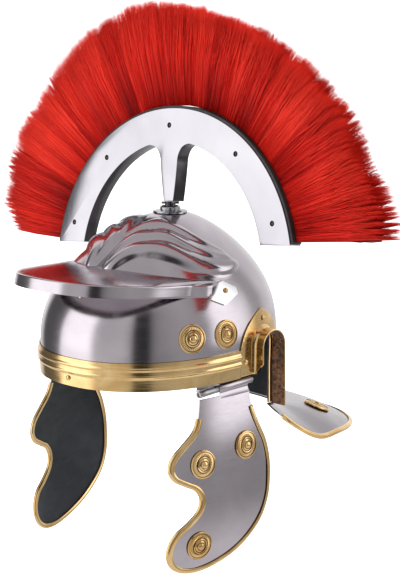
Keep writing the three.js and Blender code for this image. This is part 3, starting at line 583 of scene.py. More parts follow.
def browLift(angle, height):
    # How far the embossing stands off the bowl at each place.
    turn = np.degrees(np.abs(angle))
    along = np.linspace(0, 1, brows["samples"])
    lines, starts, ends = [], [], []
    for line in brows["lines"]:
        drawn = curve(line, along)
        lines.append(np.interp(turn, drawn[:, 0], drawn[:, 1] * bowl["height"]))
        starts.append(line[0][0])
        ends.append(line[-1][0])
    lines = np.stack(lines)
    last = len(lines) - 1
    place = np.full(turn.shape, -1.0)
    for k in range(last):
        inside = (height >= lines[k]) & (height < lines[k + 1])
        share = (height - lines[k]) / np.maximum(lines[k + 1] - lines[k], 1e-6)
        place = np.where(inside, k + share, place)
    on = place >= 0
    place = np.where(on, place, 0)
    start = np.interp(place, np.arange(last + 1), starts)
    end = np.interp(place, np.arange(last + 1), ends)
    roll = np.abs(np.sin(place * math.pi / 2)) ** brows["roundness"]
    inner = (place > 1) & (place < last - 1)
    crease = np.interp(turn, *zip(*brows["creases"]))
    roll = np.where(inner, lerp(crease, 1, roll), roll)
    front = np.clip((turn - start) / brows["frontFade"], 0, 1)
    temple = np.clip((end - turn) / brows["templeFade"], 0, 1)
    fade = np.sqrt(front * (2 - front)) * np.sqrt(temple * (2 - temple))
    fade = fade * np.interp(turn, *zip(*brows["strength"]))
    return np.where(on, brows["lift"] * roll * fade, 0)


def softLift(angle, height):
    # The lift averaged over its neighbourhood, as pressed sheet has no sharp edges.
    turn, rise = math.radians(brows["soften"][0]), brows["soften"][1]
    steps = [(i, j) for i in (-1, 0, 1) for j in (-1, 0, 1)]
    return sum(browLift(angle + i * turn, height + j * rise) for i, j in steps) / len(steps)


def bowlDome(columns, rows, lift, embossed=False):
    even, (shares, degrees) = bowl["evenColumns"], zip(*bowl["rise"])
    brow, base = shares[0], bowl["base"] * (1 + abs(lift) / bowl["deeper"])

    def place(u, v):
        w = 2 * u - 1
        angle = math.pi * (even * w + (1 - even) * w**3)
        rise = np.interp(v, shares, np.radians(degrees))
        height = bowl["height"] * np.sin(rise) ** bowl["heightPower"]
        height = np.where(v < brow, base * (1 - v / brow), height)
        out = lift + (softLift(angle, height) if embossed else 0)
        return onBowl(angle, height, np.broadcast_to(out, angle.shape))

    return closeUp(gridSheet(columns, rows, place), merge=0.02)


def napeEdge(y):
    slope = (bowl["napeDropAtBack"] - bowl["napeDropAtEar"]) / (bowl["back"] - bowl["earBack"])
    return -bowl["napeDropAtEar"] - slope * (y - bowl["earBack"])


def acrossX(u, v, w):
    return (w, u, v)


def belowRim(name):
    far = 1.4 * bowl["front"]
    outline = join(
        [[-far, bowl["base"] - 20], [-far, bowl["frontRim"]], [bowl["earFront"], bowl["frontRim"]]],
        arc((earMiddle, archFoot), (earHalf, earHalf), 180, 0, 40),
        [[bowl["earBack"], napeEdge(bowl["earBack"])], [far, napeEdge(far)]],
        [[far, bowl["base"] - 20]],
    )
    return toObject(name, prism(outline, -2 * bowl["front"], 2 * bowl["front"], acrossX))


def buildBowl():
    shell = toObject("bowlShell", bowlDome(bowl["columns"], bowl["rows"], 0, embossed=True))
    inner = toObject("bowlRoom", bowlDome(120, 60, -bowl["wall"]))
    combine(shell, inner, "DIFFERENCE")
    combine(shell, belowRim("rimCutter"), "DIFFERENCE")
    middle, inward = np.array(bowl["middle"]), bowl["inward"]
    paintFaces(shell, lambda at, normal: ((middle - at) * normal).sum(1) > inward, 1)
    finishPiece(shell, "helmet", [bowlSteel, darkInside], ["bowl"])


buildBowl()
print("bowl ready")


# Round fittings: rosettes and rivets, turned about +Z and then seated.

rosette = {
    "radius": 13.2,
    "height": 4.4,
    "segments": 72,
    "notches": 36,
    "notchDepth": 0.28,
    # shares of the radius and the height, from the back's edge to the rivet head's crown
    "profile": [
        [0, 0], [0.985, 0], [1, 0.06], [0.99, 0.2], [0.95, 0.33], [0.9, 0.36], [0.86, 0.27],
        [0.84, 0.22], [0.8, 0.26], [0.72, 0.34], [0.65, 0.4], [0.62, 0.4], [0.6, 0.31],
        [0.565, 0.3], [0.55, 0.42], [0.5, 0.52], [0.46, 0.5], [0.44, 0.4], [0.4, 0.42],
        [0.33, 0.52], [0.3, 0.58], [0.275, 0.58], [0.26, 0.66], [0.22, 0.84], [0.15, 0.95],
        [0.07, 0.99], [0, 1],
    ],
    "milled": (0.62, 0.84),  # the notched ring
    # The grooves are where the brass is painted dark, as painted shade in the recesses.
    "grooves": [(0.83, 0.9), (0.55, 0.62), (0.39, 0.46), (0.26, 0.31)],  # where the brass is dark
}
# shares of the bowl's front reach and height
bowlRosettes = {"Front": (-0.47, 0.313), "Rear": (-0.178, 0.306)}
rivet = {"radius": 2.4, "height": 1.5, "segments": 28}


def rosetteShape(name):
    size, tall = rosette["radius"], rosette["height"]
    bm = spun([(r * size, h * tall) for r, h in rosette["profile"]], rosette["segments"])
    low, high = (share * size for share in rosette["milled"])
    for vert in bm.verts:
        reach = math.hypot(vert.co.x, vert.co.y)
        if low < reach < high and vert.co.z > 0.1:
            turn = math.atan2(vert.co.y, vert.co.x) * rosette["notches"]
            vert.co.z -= rosette["notchDepth"] * (0.5 - 0.5 * math.cos(turn))
    return toObject(name, bm)


def rivetShape(name, radius):
    turns = np.radians(np.linspace(0, 90, 8))
    tall = rivet["height"] * radius / rivet["radius"]
    dome = [(radius * math.cos(a), 0.15 + tall * math.sin(a)) for a in turns]
    return toObject(name, spun([(0, 0), (radius, 0), *dome], rivet["segments"]))


def seat(place, normal):
    turn = Vector((0, 0, 1)).rotation_difference(Vector(normal)).to_matrix().to_4x4()
    return Matrix.Translation(Vector(place)) @ turn


def seatOn(side, spot, normal):
    # A seat worked out on the wearer's left, and mirrored where side is the right.
    flip = np.array([side, 1, 1])
    return seat(spot * flip, normal * flip)


def seatOnBowl(side, y, height, lift):
    angle = bowlAngleAt(y, height)
    return seatOn(side, onBowl(angle, height, lift), bowlNormal(angle, height))


def addRosette(name, node, body, place):
    piece = rosetteShape(name)

    def grooved(at, normal):
        reach = np.hypot(at[:, 0], at[:, 1]) / rosette["radius"]
        return np.any([(reach > low) & (reach < high) for low, high in rosette["grooves"]], axis=0)

    # The grooves take the dark brass as painted shade.
    paintFaces(piece, grooved, 1)
    return finishPiece(piece, body, [brass, grooveShadeBrass], [node], 28, place)


def addRivet(
    name, node, place, material=brass, body="helmet", radius=rivet["radius"]
):
    return finishPiece(rivetShape(name, radius), body, [material], [node], 40, place)


# Brow band: a foot, two ridges and a plain upper part, bent round the front.

browBand = {
    "height": 25.9,
    "seat": 0.5,
    "sheet": 1.1,
    "ridge": 1.5,
    "ridges": [(0.53, 0.052), (0.78, 0.055)],  # share of the height, half width share
    "between": 0.45,
    "steps": 150,
    "end": -6.0,
    "rivetAt": 0.28,  # share of the band's height
    "peakRivetAt": 0.555,  # share of the bowl's height
}


def buildBrowBand():
    rise = np.linspace(0, 1, 44)
    foot = browBand["seat"] + browBand["sheet"]
    low, high = (centre for centre, half in browBand["ridges"])
    stand = np.where((rise > low) & (rise < high), browBand["between"], 0)
    for centre, half in browBand["ridges"]:
        stand = np.maximum(stand, browBand["ridge"] * np.exp(-(((rise - centre) / half) ** 2)))
    front = np.stack([foot + stand, rise * browBand["height"]], -1)
    back = [[browBand["seat"], browBand["height"]], [browBand["seat"], 0]]
    end = float(bowlAngleAt(browBand["end"] - gap, browBand["height"] / 2))
    bm = sweep(
        join(front, back), browBand["steps"],
        lambda lift, height, t: onBowl(lerp(end, -end, t), height, lift),
    )
    band = toObject("browBandBrass", bm)
    finishPiece(band, "helmet", [brass], ["brow_band"], 50)
    frontSeats = (
        ("browBandRivet", "brow_band_rivet", browBand["height"] * browBand["rivetAt"], foot + gap),
        ("peakRivetFront", "peak_rivet_front", browBand["peakRivetAt"] * bowl["height"], gap),
    )
    for name, node, height, lift in frontSeats:
        addRivet(name, node, seat(onBowl(0.0, height, lift), bowlNormal(0.0, height)))


buildBrowBand()


# Peak: a level shelf with a flange turned down along its rim.

peak = {
    "sheet": 1.4,
    "halfWidth": 80.0,
    "reach": 155.8,
    "endY": -27.5,
    "endHeight": 0.612,  # share of the bowl's height, as is the rise
    "rise": 0.108,
    "flange": 10.4,
    "flare": 2.2,
    "power": 2.593,
    "corner": 1.7,
    "steps": 150,
    "rootAngle": 84.0,
    "shelfSteps": 14,
    "rootLift": 0.4,
}
templePlate = {
    "centre": (-0.097, 0.562),  # shares of the bowl's front reach and height
    "size": 21.0,
    "sheet": 1.2,
    "angles": (50, 110),  # degrees round the bowl that the plate is cut from
    "corners": [
        [-0.68, 0.29], [0.08, 0.43], [0.68, 0.1], [0.66, -0.19], [-0.28, -0.52], [-0.99, -0.19],
    ],
}


def peakRim(t):
    turn = lerp(-math.pi / 2, math.pi / 2, t)
    forward = np.clip(np.cos(turn), 0, 1) ** (2 / peak["power"])
    x = peak["halfWidth"] * signedPower(np.sin(turn), 2 / peak["power"])
    y = peak["endY"] - (peak["reach"] + peak["endY"]) * forward
    z = bowl["height"] * (peak["endHeight"] + peak["rise"] * forward)
    return np.stack([x, y, z], -1)


def buildPeak():
    r = peak["corner"]
    # outward from the bowl and down the flange: distance in from the rim, and height
    corner = arc((r, -r), (r, r), 90, 180, 8)
    flange = np.stack([
        np.linspace(0, -peak["flare"], 6)[1:],
        np.linspace(-r, -peak["flange"], 6)[1:],
    ], -1)
    fold = np.vstack([corner, flange])
    shelf = peak["shelfSteps"]

    def place(u, t):
        rim = peakRim(t)
        # At its ends the flange keeps outside the bowl over its whole height.
        low = rim[:, 2] - peak["flange"]
        beside = bowlPoint(bowlAngleAt(rim[:, 1], low), low)[:, 0] + peak["sheet"] + gap
        rim[:, 0] = np.sign(rim[:, 0]) * np.maximum(np.abs(rim[:, 0]), beside - peak["flare"])
        angle = np.radians(lerp(-peak["rootAngle"], peak["rootAngle"], t))
        root = onBowl(angle, rim[:, 2], peak["rootLift"])
        root[:, 2] = rim[:, 2]
        across = root - rim
        across[:, 2] = 0
        width = np.linalg.norm(across, axis=1)
        inward = across / np.maximum(width, 1e-6)[:, None]
        count = shelf + len(fold) - 1
        step = u * count
        onShelf = step <= shelf
        share = np.clip(step / shelf, 0, 1)
        flatIn = lerp(np.maximum(width, r), r, share)
        k = np.clip(step - shelf, 0, len(fold) - 1)
        foldIn = np.interp(k, np.arange(len(fold)), fold[:, 0])
        foldUp = np.interp(k, np.arange(len(fold)), fold[:, 1])
        distance = np.where(onShelf, flatIn, foldIn)
        up = np.where(onShelf, 0, foldUp)
        spot = rim + inward * distance[:, None]
        spot[:, 2] += up
        return spot

    bm = gridSheet(shelf + len(fold) - 1, peak["steps"], place)
    faceUp(bm, lambda faces: max(faces, key=lambda face: face.calc_center_median().z))
    piece = toObject("peakShelf", bm)
    thicken(piece, peak["sheet"])
    roundEdges(piece, 0.25)
    finishPiece(piece, "helmet", [bowlSteel], ["peak"], 40)


buildPeak()


def bowlPlate(name, outline, lift, sheet, heights, angles, cell=(90, 70)):
    # A plate of this outline in y and z, lying on the bowl.
    def place(u, v):
        angle = np.radians(lerp(angles[0], angles[1], u))
        return onBowl(angle, lerp(heights[0], heights[1], v), np.full(u.shape, lift))

    patch = toObject(name, gridSheet(*cell, place))
    thicken(faceLeft(patch, len(patch.data.polygons) // 2), sheet, 1)
    cutter = toObject("plateOutline", prism(outline, 0, 2 * bowl["halfWidth"], acrossX))
    return combine(patch, cutter, "INTERSECT")


def buildTemplePlates():
    y = templePlate["centre"][0] * bowl["front"]
    z = templePlate["centre"][1] * bowl["height"]
    size = templePlate["size"]
    outline = np.array(templePlate["corners"]) * size + (y, z)
    for side, sideName in bothSides:
        plate = bowlPlate(
            f"templePlate{sideName.title()}", outline, gap, templePlate["sheet"],
            (z - size, z + size * 0.8), templePlate["angles"],
        )
        roundEdges(plate, 0.2)
        finishPiece(
            toSide(plate, side), "helmet", [plateSteel], [f"peak_plate_{sideName}"]
        )
        addRivet(
            f"templeRivet{sideName.title()}", f"peak_rivet_{sideName}",
            seatOnBowl(side, y, z, 2 * gap + templePlate["sheet"]),
        )


buildTemplePlates()
print("band and peak ready")


# Neck guard with its brass edging.

neck = {
    "sheet": 1.5,
    "halfWidth": 131.4,
    "frontY": 37.0,
    "sideY": 60.0,
    "reach": 141.0,
    "sideDrop": 65.0,
    "drop": 81.0,
    "power": 2.2,
    "bulge": 8.0,
    "corner": [[0.785, 0.565], [0.92, 0.69]],  # shares of the half width and the side drop
    "columns": 120,
    "rows": 26,
    "rosette": (0.28, 0.58),  # share of the way round, share of the way out
    "edgingEnd": 0.036,  # share of the rim left bare at each end
    "edgingAim": 0.84,  # share of the way out that the channel's legs point to
    "rimStart": 0.05,  # radians from straight sideways
    "rimPoints": 13,
}
edging = {"grip": 3.4, "sheet": 0.8, "play": 0.6, "turns": 9}


def neckRim(share):
    turn = np.linspace(neck["rimStart"], math.pi - neck["rimStart"], neck["rimPoints"])
    x = neck["halfWidth"] * signedPower(np.cos(turn), 2 / neck["power"])
    y = neck["sideY"] + neck["reach"] * np.sin(turn) ** (2 / neck["power"])
    z = -lerp(neck["sideDrop"], neck["drop"], np.sin(turn))
    corner = np.array([
        [cx * neck["halfWidth"], neck["frontY"], -cz * neck["sideDrop"]] for cx, cz in neck["corner"]
    ])
    other = corner[::-1] * (-1, 1, 1)
    points = np.vstack([corner, np.stack([x, y, z], -1), other])
    return curve(points, share), tangent(points, share)


def neckPoint(share, out):
    share, out = np.broadcast_arrays(np.asarray(share, float), np.asarray(out, float))
    ear = float(bowlAngleAt(bowl["earBack"] + 1, 0.0))
    nape = onBowl(lerp(ear, 2 * math.pi - ear, share), 0.0, np.full(share.shape, -bowl["wall"]))
    nape[..., 2] = napeEdge(nape[..., 1]) - 2 * gap
    spot = lerp(nape, neckRim(share)[0], out[..., None])
    spot[..., 2] += neck["bulge"] * np.sin(math.pi * out) * np.sin(math.pi * share)
    return spot


def channelSection(sheet):
    # A folded brass channel round the sheet's edge: out from the edge, and across the sheet.
    inner = sheet / 2 + edging["play"]
    outer = inner + edging["sheet"]
    nose = edging["play"] + edging["sheet"]
    bow = arc((nose - outer * 0.8, 0), (outer * 0.8, outer), 90, -90, edging["turns"])
    return join(
        [[-edging["grip"], inner], [-edging["grip"], outer - 0.2], [-edging["grip"] + 0.3, outer]],
        bow,
        [[-edging["grip"] + 0.3, -outer], [-edging["grip"], -outer + 0.2], [-edging["grip"], -inner]],
        [[edging["play"], -inner], [edging["play"], inner]],
    )


def buildNeck():
    bm = gridSheet(neck["columns"], neck["rows"], neckPoint)
    faceUp(bm, lambda faces: faces[len(faces) // 2])
    guard = thicken(toObject("neckGuardPlate", bm), neck["sheet"])
    paintFaces(guard, lambda at, normal: normal[:, 2] < underside, 1)
    # The guard takes the darker copy of the steel as painted shade.
    finishPiece(guard, "helmet", [neckShadeSteel, darkInside], ["neck_guard"], 40)

    def place(u, v, t):
        share = lerp(neck["edgingEnd"], 1 - neck["edgingEnd"], t)
        rim, along = neckRim(share)
        inward = neckPoint(share, np.full(share.shape, neck["edgingAim"])) - rim
        inward = unit(inward - along * (inward * along).sum(-1, keepdims=True))
        through = np.cross(along, inward)
        through = through * np.sign(through[:, 2:3])
        rim[:, 2] -= neck["sheet"] / 2
        return rim - inward * u[:, None] + through * v[:, None]

    trim = toObject("neckEdgingBrass", sweep(channelSection(neck["sheet"]), neck["columns"], place))
    finishPiece(trim, "helmet", [brass], ["neck_edging"], 50)
    for side, sideName in bothSides:
        share, out = neck["rosette"]
        spot = neckPoint(share, out)
        nudge = 0.05
        outward = neckPoint(share, out + nudge) - spot
        normal = unit(np.cross(outward, neckPoint(share + nudge, out) - spot))
        normal = normal * np.sign(normal[2])
        place = seatOn(side, spot + normal * gap, normal)
        addRosette(f"neckRosette{sideName.title()}", f"neck_rosette_{sideName}", "helmet", place)


buildNeck()
print("neck guard ready")


# Ear guards: a leaf-shaped brass plate with a flange round the ear arch.

earGuard = {
    "sheet": 1.2,
    "front": -6.0,
    "tipY": 29.0,
    "tipHeight": 59.0,
    "back": 62.0,
    "flange": 12.8,
    "soleFront": 0.9,
    "fillet": 3.4,
    "filletReach": 5.0,
    "chamfer": 0.8,  # share of the flange cut off its front lower corner
    "chamferDepth": 0.8,  # share of the cut's height
    "chamferRun": 0.3,  # share of the arch, from its front foot, that the cut may take
    "sunk": 0.6,  # how far the flange's root goes into the plate
    "heights": (-46, 66),
    "angles": (66, 150),
    # faces that look inwards by this much and stand this near the arch's middle are brown
    "inward": -3,
    "archInside": 14.8,
    "rivets": {"Front": (0.5, 0.24), "Top": (29.0, 0.84), "Rear": (55.5, 0.2)},
}


def earArch():
    # The arch seen from the side, from its front foot over the top to its rear foot.
    half, middle = earHalf, earMiddle
    front = [[middle - half, z] for z in np.linspace(earGuard["soleFront"], archFoot, 14)]
    over = arc((middle, archFoot), (half, half), 180, 0, 44)
    rearFoot = napeEdge(bowl["earBack"]) + gap
    rear = [[middle + half, z] for z in np.linspace(archFoot, rearFoot, 30)]
    return join(front, over, rear)


def buildEarGuards():
    tall = earGuard["tipHeight"]
    first, last = earGuard["front"], earGuard["back"]
    middle = earMiddle
    tip = (earGuard["tipY"], tall)
    arch = earArch()
    outline = join(
        [[bowl["earFront"], earGuard["soleFront"]], [first, earGuard["soleFront"]]],
        bent((first, tall * 0.42), (first + 4, tall * 0.82), tip, 14),
        bent(tip, (last - 6, tall * 0.82), (last, tall * 0.36), 14)[1:],
        [[last, napeEdge(last) + gap], [bowl["earBack"], napeEdge(bowl["earBack"]) + gap]],
        arch[::-1],
    )
    edge = bowl["halfWidth"] + gap + earGuard["flange"]
    steps = len(arch) - 1

    def flangePlace(u, v):
        # v runs over the arch, u from the bowl out to the flange's edge
        k = v * steps
        y = np.interp(k, np.arange(steps + 1), arch[:, 0])
        z = np.interp(k, np.arange(steps + 1), arch[:, 1])
        root = bowlPoint(bowlAngleAt(y, z), z)[:, 0] + gap
        x = lerp(root - earGuard["sunk"], edge, u)
        near = np.clip(1 - (x - root) / earGuard["filletReach"], 0, 1) ** 2
        grow = earGuard["fillet"] * near
        outY, outZ = y - middle, np.maximum(z - archFoot, 0)
        length = np.maximum(np.hypot(outY, outZ), 1e-6)
        y, z = y + grow * outY / length, z + grow * outZ / length
        cut = earGuard["chamfer"] * earGuard["flange"]
        foot = (v < earGuard["chamferRun"]) * np.clip(1 - (z - earGuard["soleFront"]) / cut, 0, 1)
        x = np.minimum(x, edge - cut * earGuard["chamferDepth"] * foot)
        return np.stack([x, y, z], -1)

    for side, sideName in bothSides:
        title = sideName.title()
        plate = bowlPlate(
            f"earGuard{title}", outline, gap, earGuard["sheet"], earGuard["heights"],
            earGuard["angles"], (110, 110),
        )
        roundEdges(plate, 0.22)
        bm = gridSheet(16, steps, flangePlace)
        flange = toObject("earFlange", bm)
        outward = flange.data.polygons[len(flange.data.polygons) // 2]
        away = outward.center - Vector((0, middle, 20))
        if outward.normal.y * away.y + outward.normal.z * away.z < 0:
            flange.data.flip_normals()
        thicken(flange, earGuard["sheet"], 1)
        roundEdges(flange, 0.25)

        def inside(at, normal):
            y, z = at[:, 1] - middle, np.maximum(at[:, 2] - archFoot, 0)
            towards = normal[:, 1] * y + normal[:, 2] * z
            return (towards < earGuard["inward"]) & (np.hypot(y, z) < earGuard["archInside"])

        paintFaces(flange, inside, 1)
        joinInto(plate, flange)
        finishPiece(
            toSide(plate, side), "helmet", [brass, brownInside], [f"ear_guard_{sideName}"], 40
        )
        for where, (y, share) in earGuard["rivets"].items():
            place = seatOnBowl(side, y, share * tall, 2 * gap + earGuard["sheet"])
            addRivet(f"earRivet{where}{title}", f"ear_rivet_{where.lower()}_{sideName}", place)


buildEarGuards()
for side, sideName in bothSides:
    for where, (y, z) in bowlRosettes.items():
        place = seatOnBowl(side, y * bowl["front"], z * bowl["height"], -gap)
        node = f"rosette_{where.lower()}_{sideName}"
        addRosette(f"bowlRosette{where}{sideName.title()}", node, "helmet", place)
print("ear guards ready")


# Cheek guards with their hinges.

cheek = {
    "sheet": 1.4,
    "length": 81.0,
    "topY": -57.0,
    "top": -10.6,
    "drop": 160.0,
    "plane": 97.2,
    "steps": 300,
    # shares of the length behind the hinge's front end, and of the drop
    "outline": [
        [0, 0], [-0.06, 0.115], [-0.11, 0.165], [-0.24, 0.225], [-0.375, 0.285], [-0.43, 0.33],
        [-0.44, 0.38], [-0.39, 0.43], [-0.25, 0.475], [-0.13, 0.51], [-0.075, 0.565], [-0.1, 0.62],
        [-0.22, 0.68], [-0.37, 0.735], [-0.455, 0.805], [-0.47, 0.87], [-0.42, 0.935], [-0.3, 0.98],
        [-0.1, 0.998], [0.16, 0.98], [0.45, 0.93], [0.68, 0.86], [0.87, 0.765], [0.97, 0.65],
        [0.995, 0.53], [0.985, 0.42], [0.93, 0.31], [0.84, 0.215], [0.76, 0.11], [0.74, 0],
    ],
    "rosettes": {"Front": (-0.025, 0.362), "Rear": (0.593, 0.309), "Lower": (-0.074, 0.834)},
    "notch": 2.6,  # how much lower the plate starts under the roll, from notchFront back
    "notchFront": -33.0,
    "tuck": 1.3,  # how far the web under the roll is drawn in
    "edgingEnd": 1 / 34,  # share of the edge left bare at each end
    "rightSwing": 1.6,  # degrees that the right one hangs further in
}
hinge = {
    "front": (94.2, -55.5, -6.8),
    "back": (99.6, 9.5, -3.6),
    "barrel": 3.1,
    "pin": 1.3,
    "sleeve": 0.35,  # share of the hinge that is fixed to the bowl
    "leafHeight": 14.0,
    "leafSheet": 1.2,
    "web": (1.4, 3.6),  # how high its lower and upper sides stand over the axis
    "leafFoot": 3.4,
}
hingeFront, hingeBack = Vector(hinge["front"]), Vector(hinge["back"])


def cheekOut(y, z):
    # How far out the plate's middle stands at a side view's y and z.
    back = (y - cheek["topY"]) / cheek["length"]
    down = (cheek["top"] - z) / cheek["drop"]
    bulge = 0.2436 * back - 0.149 * back**2 + 0.354 * down - 0.316 * down**2
    return cheek["plane"] + cheek["length"] * (bulge - 0.032 * back * down - 0.0271)


def cheekEdge(share):
    points = [
        [cheek["topY"] + u * cheek["length"], cheek["top"] - v * cheek["drop"]] for u, v in cheek["outline"]
    ]
    along = tangent(points, share)
    out = np.stack([along[..., 1], -along[..., 0]], -1)
    return curve(points, share) - out * (edging["play"] + edging["sheet"]), out


def barrel(start, end, radius, segments=40):
    a, b = hingeFront.lerp(hingeBack, start), hingeFront.lerp(hingeBack, end)
    return cylinder(radius, (b - a).length, seat((a + b) / 2, b - a), segments)


def knuckle(name, start, end):
    # A rolled tube, with the bore that the pin runs in.
    tube = toObject(name, barrel(start, end, hinge["barrel"]))
    combine(tube, toObject("bore", barrel(-1, 2, hinge["pin"] + 1.4 * gap)), "DIFFERENCE")
    return roundEdges(tube, 0.18)


def cheekSwing(side):
    flip = Vector((side, 1, 1))
    if side > 0:
        return Matrix.Identity(4)
    axis = ((hingeBack - hingeFront) * flip).normalized()
    pivot = Matrix.Translation(hingeFront * flip)
    return pivot @ Matrix.Rotation(-math.radians(cheek["rightSwing"]), 4, axis) @ pivot.inverted()


def buildCheek(side, sideName):
    body, title, swing = f"cheek_guard_{sideName}", sideName.title(), cheekSwing(side)
    lowY, spanY = cheek["topY"] - 0.6 * cheek["length"], 1.75 * cheek["length"]

    def place(u, v):
        y, z = lowY + u * spanY, cheek["top"] + 4 - v * (cheek["drop"] + 10)
        return np.stack([cheekOut(y, z), y, z], -1)

    sheet = faceLeft(toObject(f"cheekPlate{title}", gridSheet(64, 76, place)))
    thicken(sheet, cheek["sheet"], 0)
    outline = cheekEdge(np.linspace(0, 1, cheek["steps"]))[0]
    cutter = toObject("cheekOutline", prism(outline, 0, 2 * bowl["halfWidth"], acrossX))
    combine(sheet, cutter, "INTERSECT")
    # Under the roll the plate starts lower, so that it clears the brow band when it is raised.
    low, high = cheek["top"] - cheek["notch"], cheek["top"] + 1
    front, back = cheek["notchFront"], hinge["back"][1]
    box = [[front, low], [back, low], [back, high], [front, high]]
    notch = toObject("cheekNotch", prism(box, 0, 2 * bowl["halfWidth"], acrossX))
    combine(sheet, notch, "DIFFERENCE")

    # the web from the rolled barrel down into the plate
    half = cheek["sheet"] / 2

    def webPlace(u, v, t):
        share = lerp(hinge["sleeve"] + 0.02, 0.9, t)
        axisX, axisY, axisZ = (lerp(a, b, share) for a, b in zip(hinge["front"], hinge["back"]))
        foot = cheek["top"] - cheek["notch"] - 0.8
        rise = 1 - (1 - v) ** 3
        top = axisX + hinge["barrel"] - half
        x = lerp(cheekOut(axisY, np.full(axisY.shape, foot)), top, rise)
        x = x - cheek["tuck"] * np.sin(math.pi * v)  # clear of the band when raised
        return np.stack([x + u, axisY, lerp(np.full(axisZ.shape, foot), axisZ, v)], -1)

    rising = np.linspace(0, 1, 8)
    section = join(
        np.stack([np.full(8, half), rising], -1), np.stack([np.full(8, -half), rising[::-1]], -1)
    )
    web = toObject("cheekWeb", sweep(section, 24, webPlace))
    roll = knuckle("cheekRoll", hinge["sleeve"] + 0.005, 1)
    joinInto(sheet, web, roll)
    paintFaces(sheet, lambda at, normal: (normal[:, 0] < -0.5) & (at[:, 2] < cheek["top"] - 3), 1)
    finishPiece(
        toSide(sheet, side), body, [bowlSteel, darkInside], [f"cheek_plate_{sideName}"],
        38, swing,
    )

    def trimPlace(u, v, t):
        spot, out = cheekEdge(lerp(cheek["edgingEnd"], 1 - cheek["edgingEnd"], t))
        spot = spot + out * u[:, None]
        return np.stack([cheekOut(spot[:, 0], spot[:, 1]) + v, spot[:, 0], spot[:, 1]], -1)

    trim = toObject(f"cheekEdging{title}", sweep(channelSection(cheek["sheet"]), 220, trimPlace))
    finishPiece(
        toSide(trim, side), body, [brass], [f"cheek_edging_{sideName}"], 50, swing
    )
    for where, (along, down) in cheek["rosettes"].items():
        y = cheek["topY"] + along * cheek["length"]
        z = cheek["top"] - down * cheek["drop"]
        out = cheekOut(y, z)
        normal = unit(np.array([1, out - cheekOut(y + 1, z), out - cheekOut(y, z + 1)]))
        spot = np.array([out, y, z]) + normal * (cheek["sheet"] / 2 + gap)
        node = f"cheek_rosette_{where.lower()}_{sideName}"
        addRosette(f"cheekRosette{where}{title}", node, body, swing @ seatOn(side, spot, normal))


def buildHingeSleeve(side, sideName):
    title = sideName.title()
    tube = knuckle(f"hingeSleeve{title}", 0, hinge["sleeve"] - 0.005)
    start, end = hingeFront.lerp(hingeBack, 0.04), hingeFront.lerp(hingeBack, hinge["sleeve"] - 0.04)
    inside = -bowl["wall"] - gap - hinge["leafSheet"]

    def place(u, v):
        y = lerp(start.y, end.y, u)
        z = lerp(start.z + hinge["leafFoot"], hinge["leafHeight"], v)
        return onBowl(bowlAngleAt(y, np.maximum(z, 0)), z, np.full(u.shape, inside))

    leaf = faceLeft(toObject("hingeLeaf", gridSheet(12, 8, place)))
    thicken(leaf, hinge["leafSheet"], 1)
    innerX = float(bowlPoint(bowlAngleAt(start.y, 0.0), 0.0)[0]) + inside
    outerX = end.x - hinge["pin"] - gap
    low, high = (start.z + rise for rise in hinge["web"])
    outline = [(innerX, low), (outerX, low), (outerX, high), (innerX, high)]
    web = toObject("hingeWeb", prism(outline, start.y, end.y, lambda u, v, w: (u, w, v)))
    joinInto(tube, leaf, web)
    finishPiece(toSide(tube, side), "helmet", [hingeSteel], [f"hinge_sleeve_{sideName}"])
    pin = toObject(f"hingePin{title}", barrel(0.01, 0.99, hinge["pin"], 24))
    roundEdges(pin, 0.3)
    finishPiece(toSide(pin, side), "helmet", [hingeSteel], [f"hinge_pin_{sideName}"])


for side, sideName in bothSides:
    buildCheek(side, sideName)
    buildHingeSleeve(side, sideName)
print("cheek guards ready")


# Crest, in its own frame with the crown of the bowl as origin.

crest = {
    "roll": -5.9, "pitch": -8.3, "yaw": 0.3,
    "setBack": 4.8,
    "radius": 150.8,
    "centre": -56.0,
    "foot": -31.5,
    "depth": 15.0,
    "sheet": 1.2,
    "armInner": (116.0, 120.0),
    "postFoot": 8.2,
    "postHalf": 11.0,
    "blockStand": 2.4,
    "play": 0.35,
    "pinsIn": 15.8,
    "pinAngles": [-71, -38, 0, 38, 71],
    "pinHole": 2.6,
    "pinRadius": 2.2,
    "shoulderTurn": 77.0,  # degrees up the arm's inner curve where it bends into the post
    "shoulderDrop": 13,
    "waistDrop": 32,
}


def turnDegrees(angle, axis):
    return Matrix.Rotation(math.radians(angle), 4, axis)


crestSeat = Matrix.Translation((0, bowl["crownSetBack"], bowl["height"])) @ (
    turnDegrees(crest["roll"], "Y") @ turnDegrees(crest["pitch"], "X") @ turnDegrees(crest["yaw"], "Z")
)


def crestOutline(inset, outerRadius):
    centre, foot = crest["centre"], crest["foot"] + inset
    drop = math.degrees(math.asin((foot - centre) / outerRadius))
    wide, high = (radius + inset for radius in crest["armInner"])
    leave = math.degrees(math.asin((foot - centre) / high))
    turn = crest["shoulderTurn"]
    top = centre + high * math.sin(math.radians(turn))
    bend, waist = top - crest["shoulderDrop"], top - crest["waistDrop"]
    half = crest["postHalf"] - inset
    shoulder = wide * math.cos(math.radians(turn))
    low, footHalf = crest["postFoot"] + inset, 6 - inset
    return join(
        arc((0, centre), (outerRadius, outerRadius), drop, 180 - drop, 110),
        arc((0, centre), (wide, high), 180 - leave, 180 - turn, 48),
        bent((-shoulder, top), (-half - 3, top), (-half, bend)),
        bent((-half, bend), (-half + 1.5, waist), (-footHalf, low)),
        bent((footHalf, low), (half - 1.5, waist), (half, bend)),
        bent((half, bend), (half + 3, top), (shoulder, top)),
        arc((0, centre), (wide, high), turn, leave, 48),
    )


def crestPlace(u, v, w):
    return (u, crest["setBack"] + w, v)


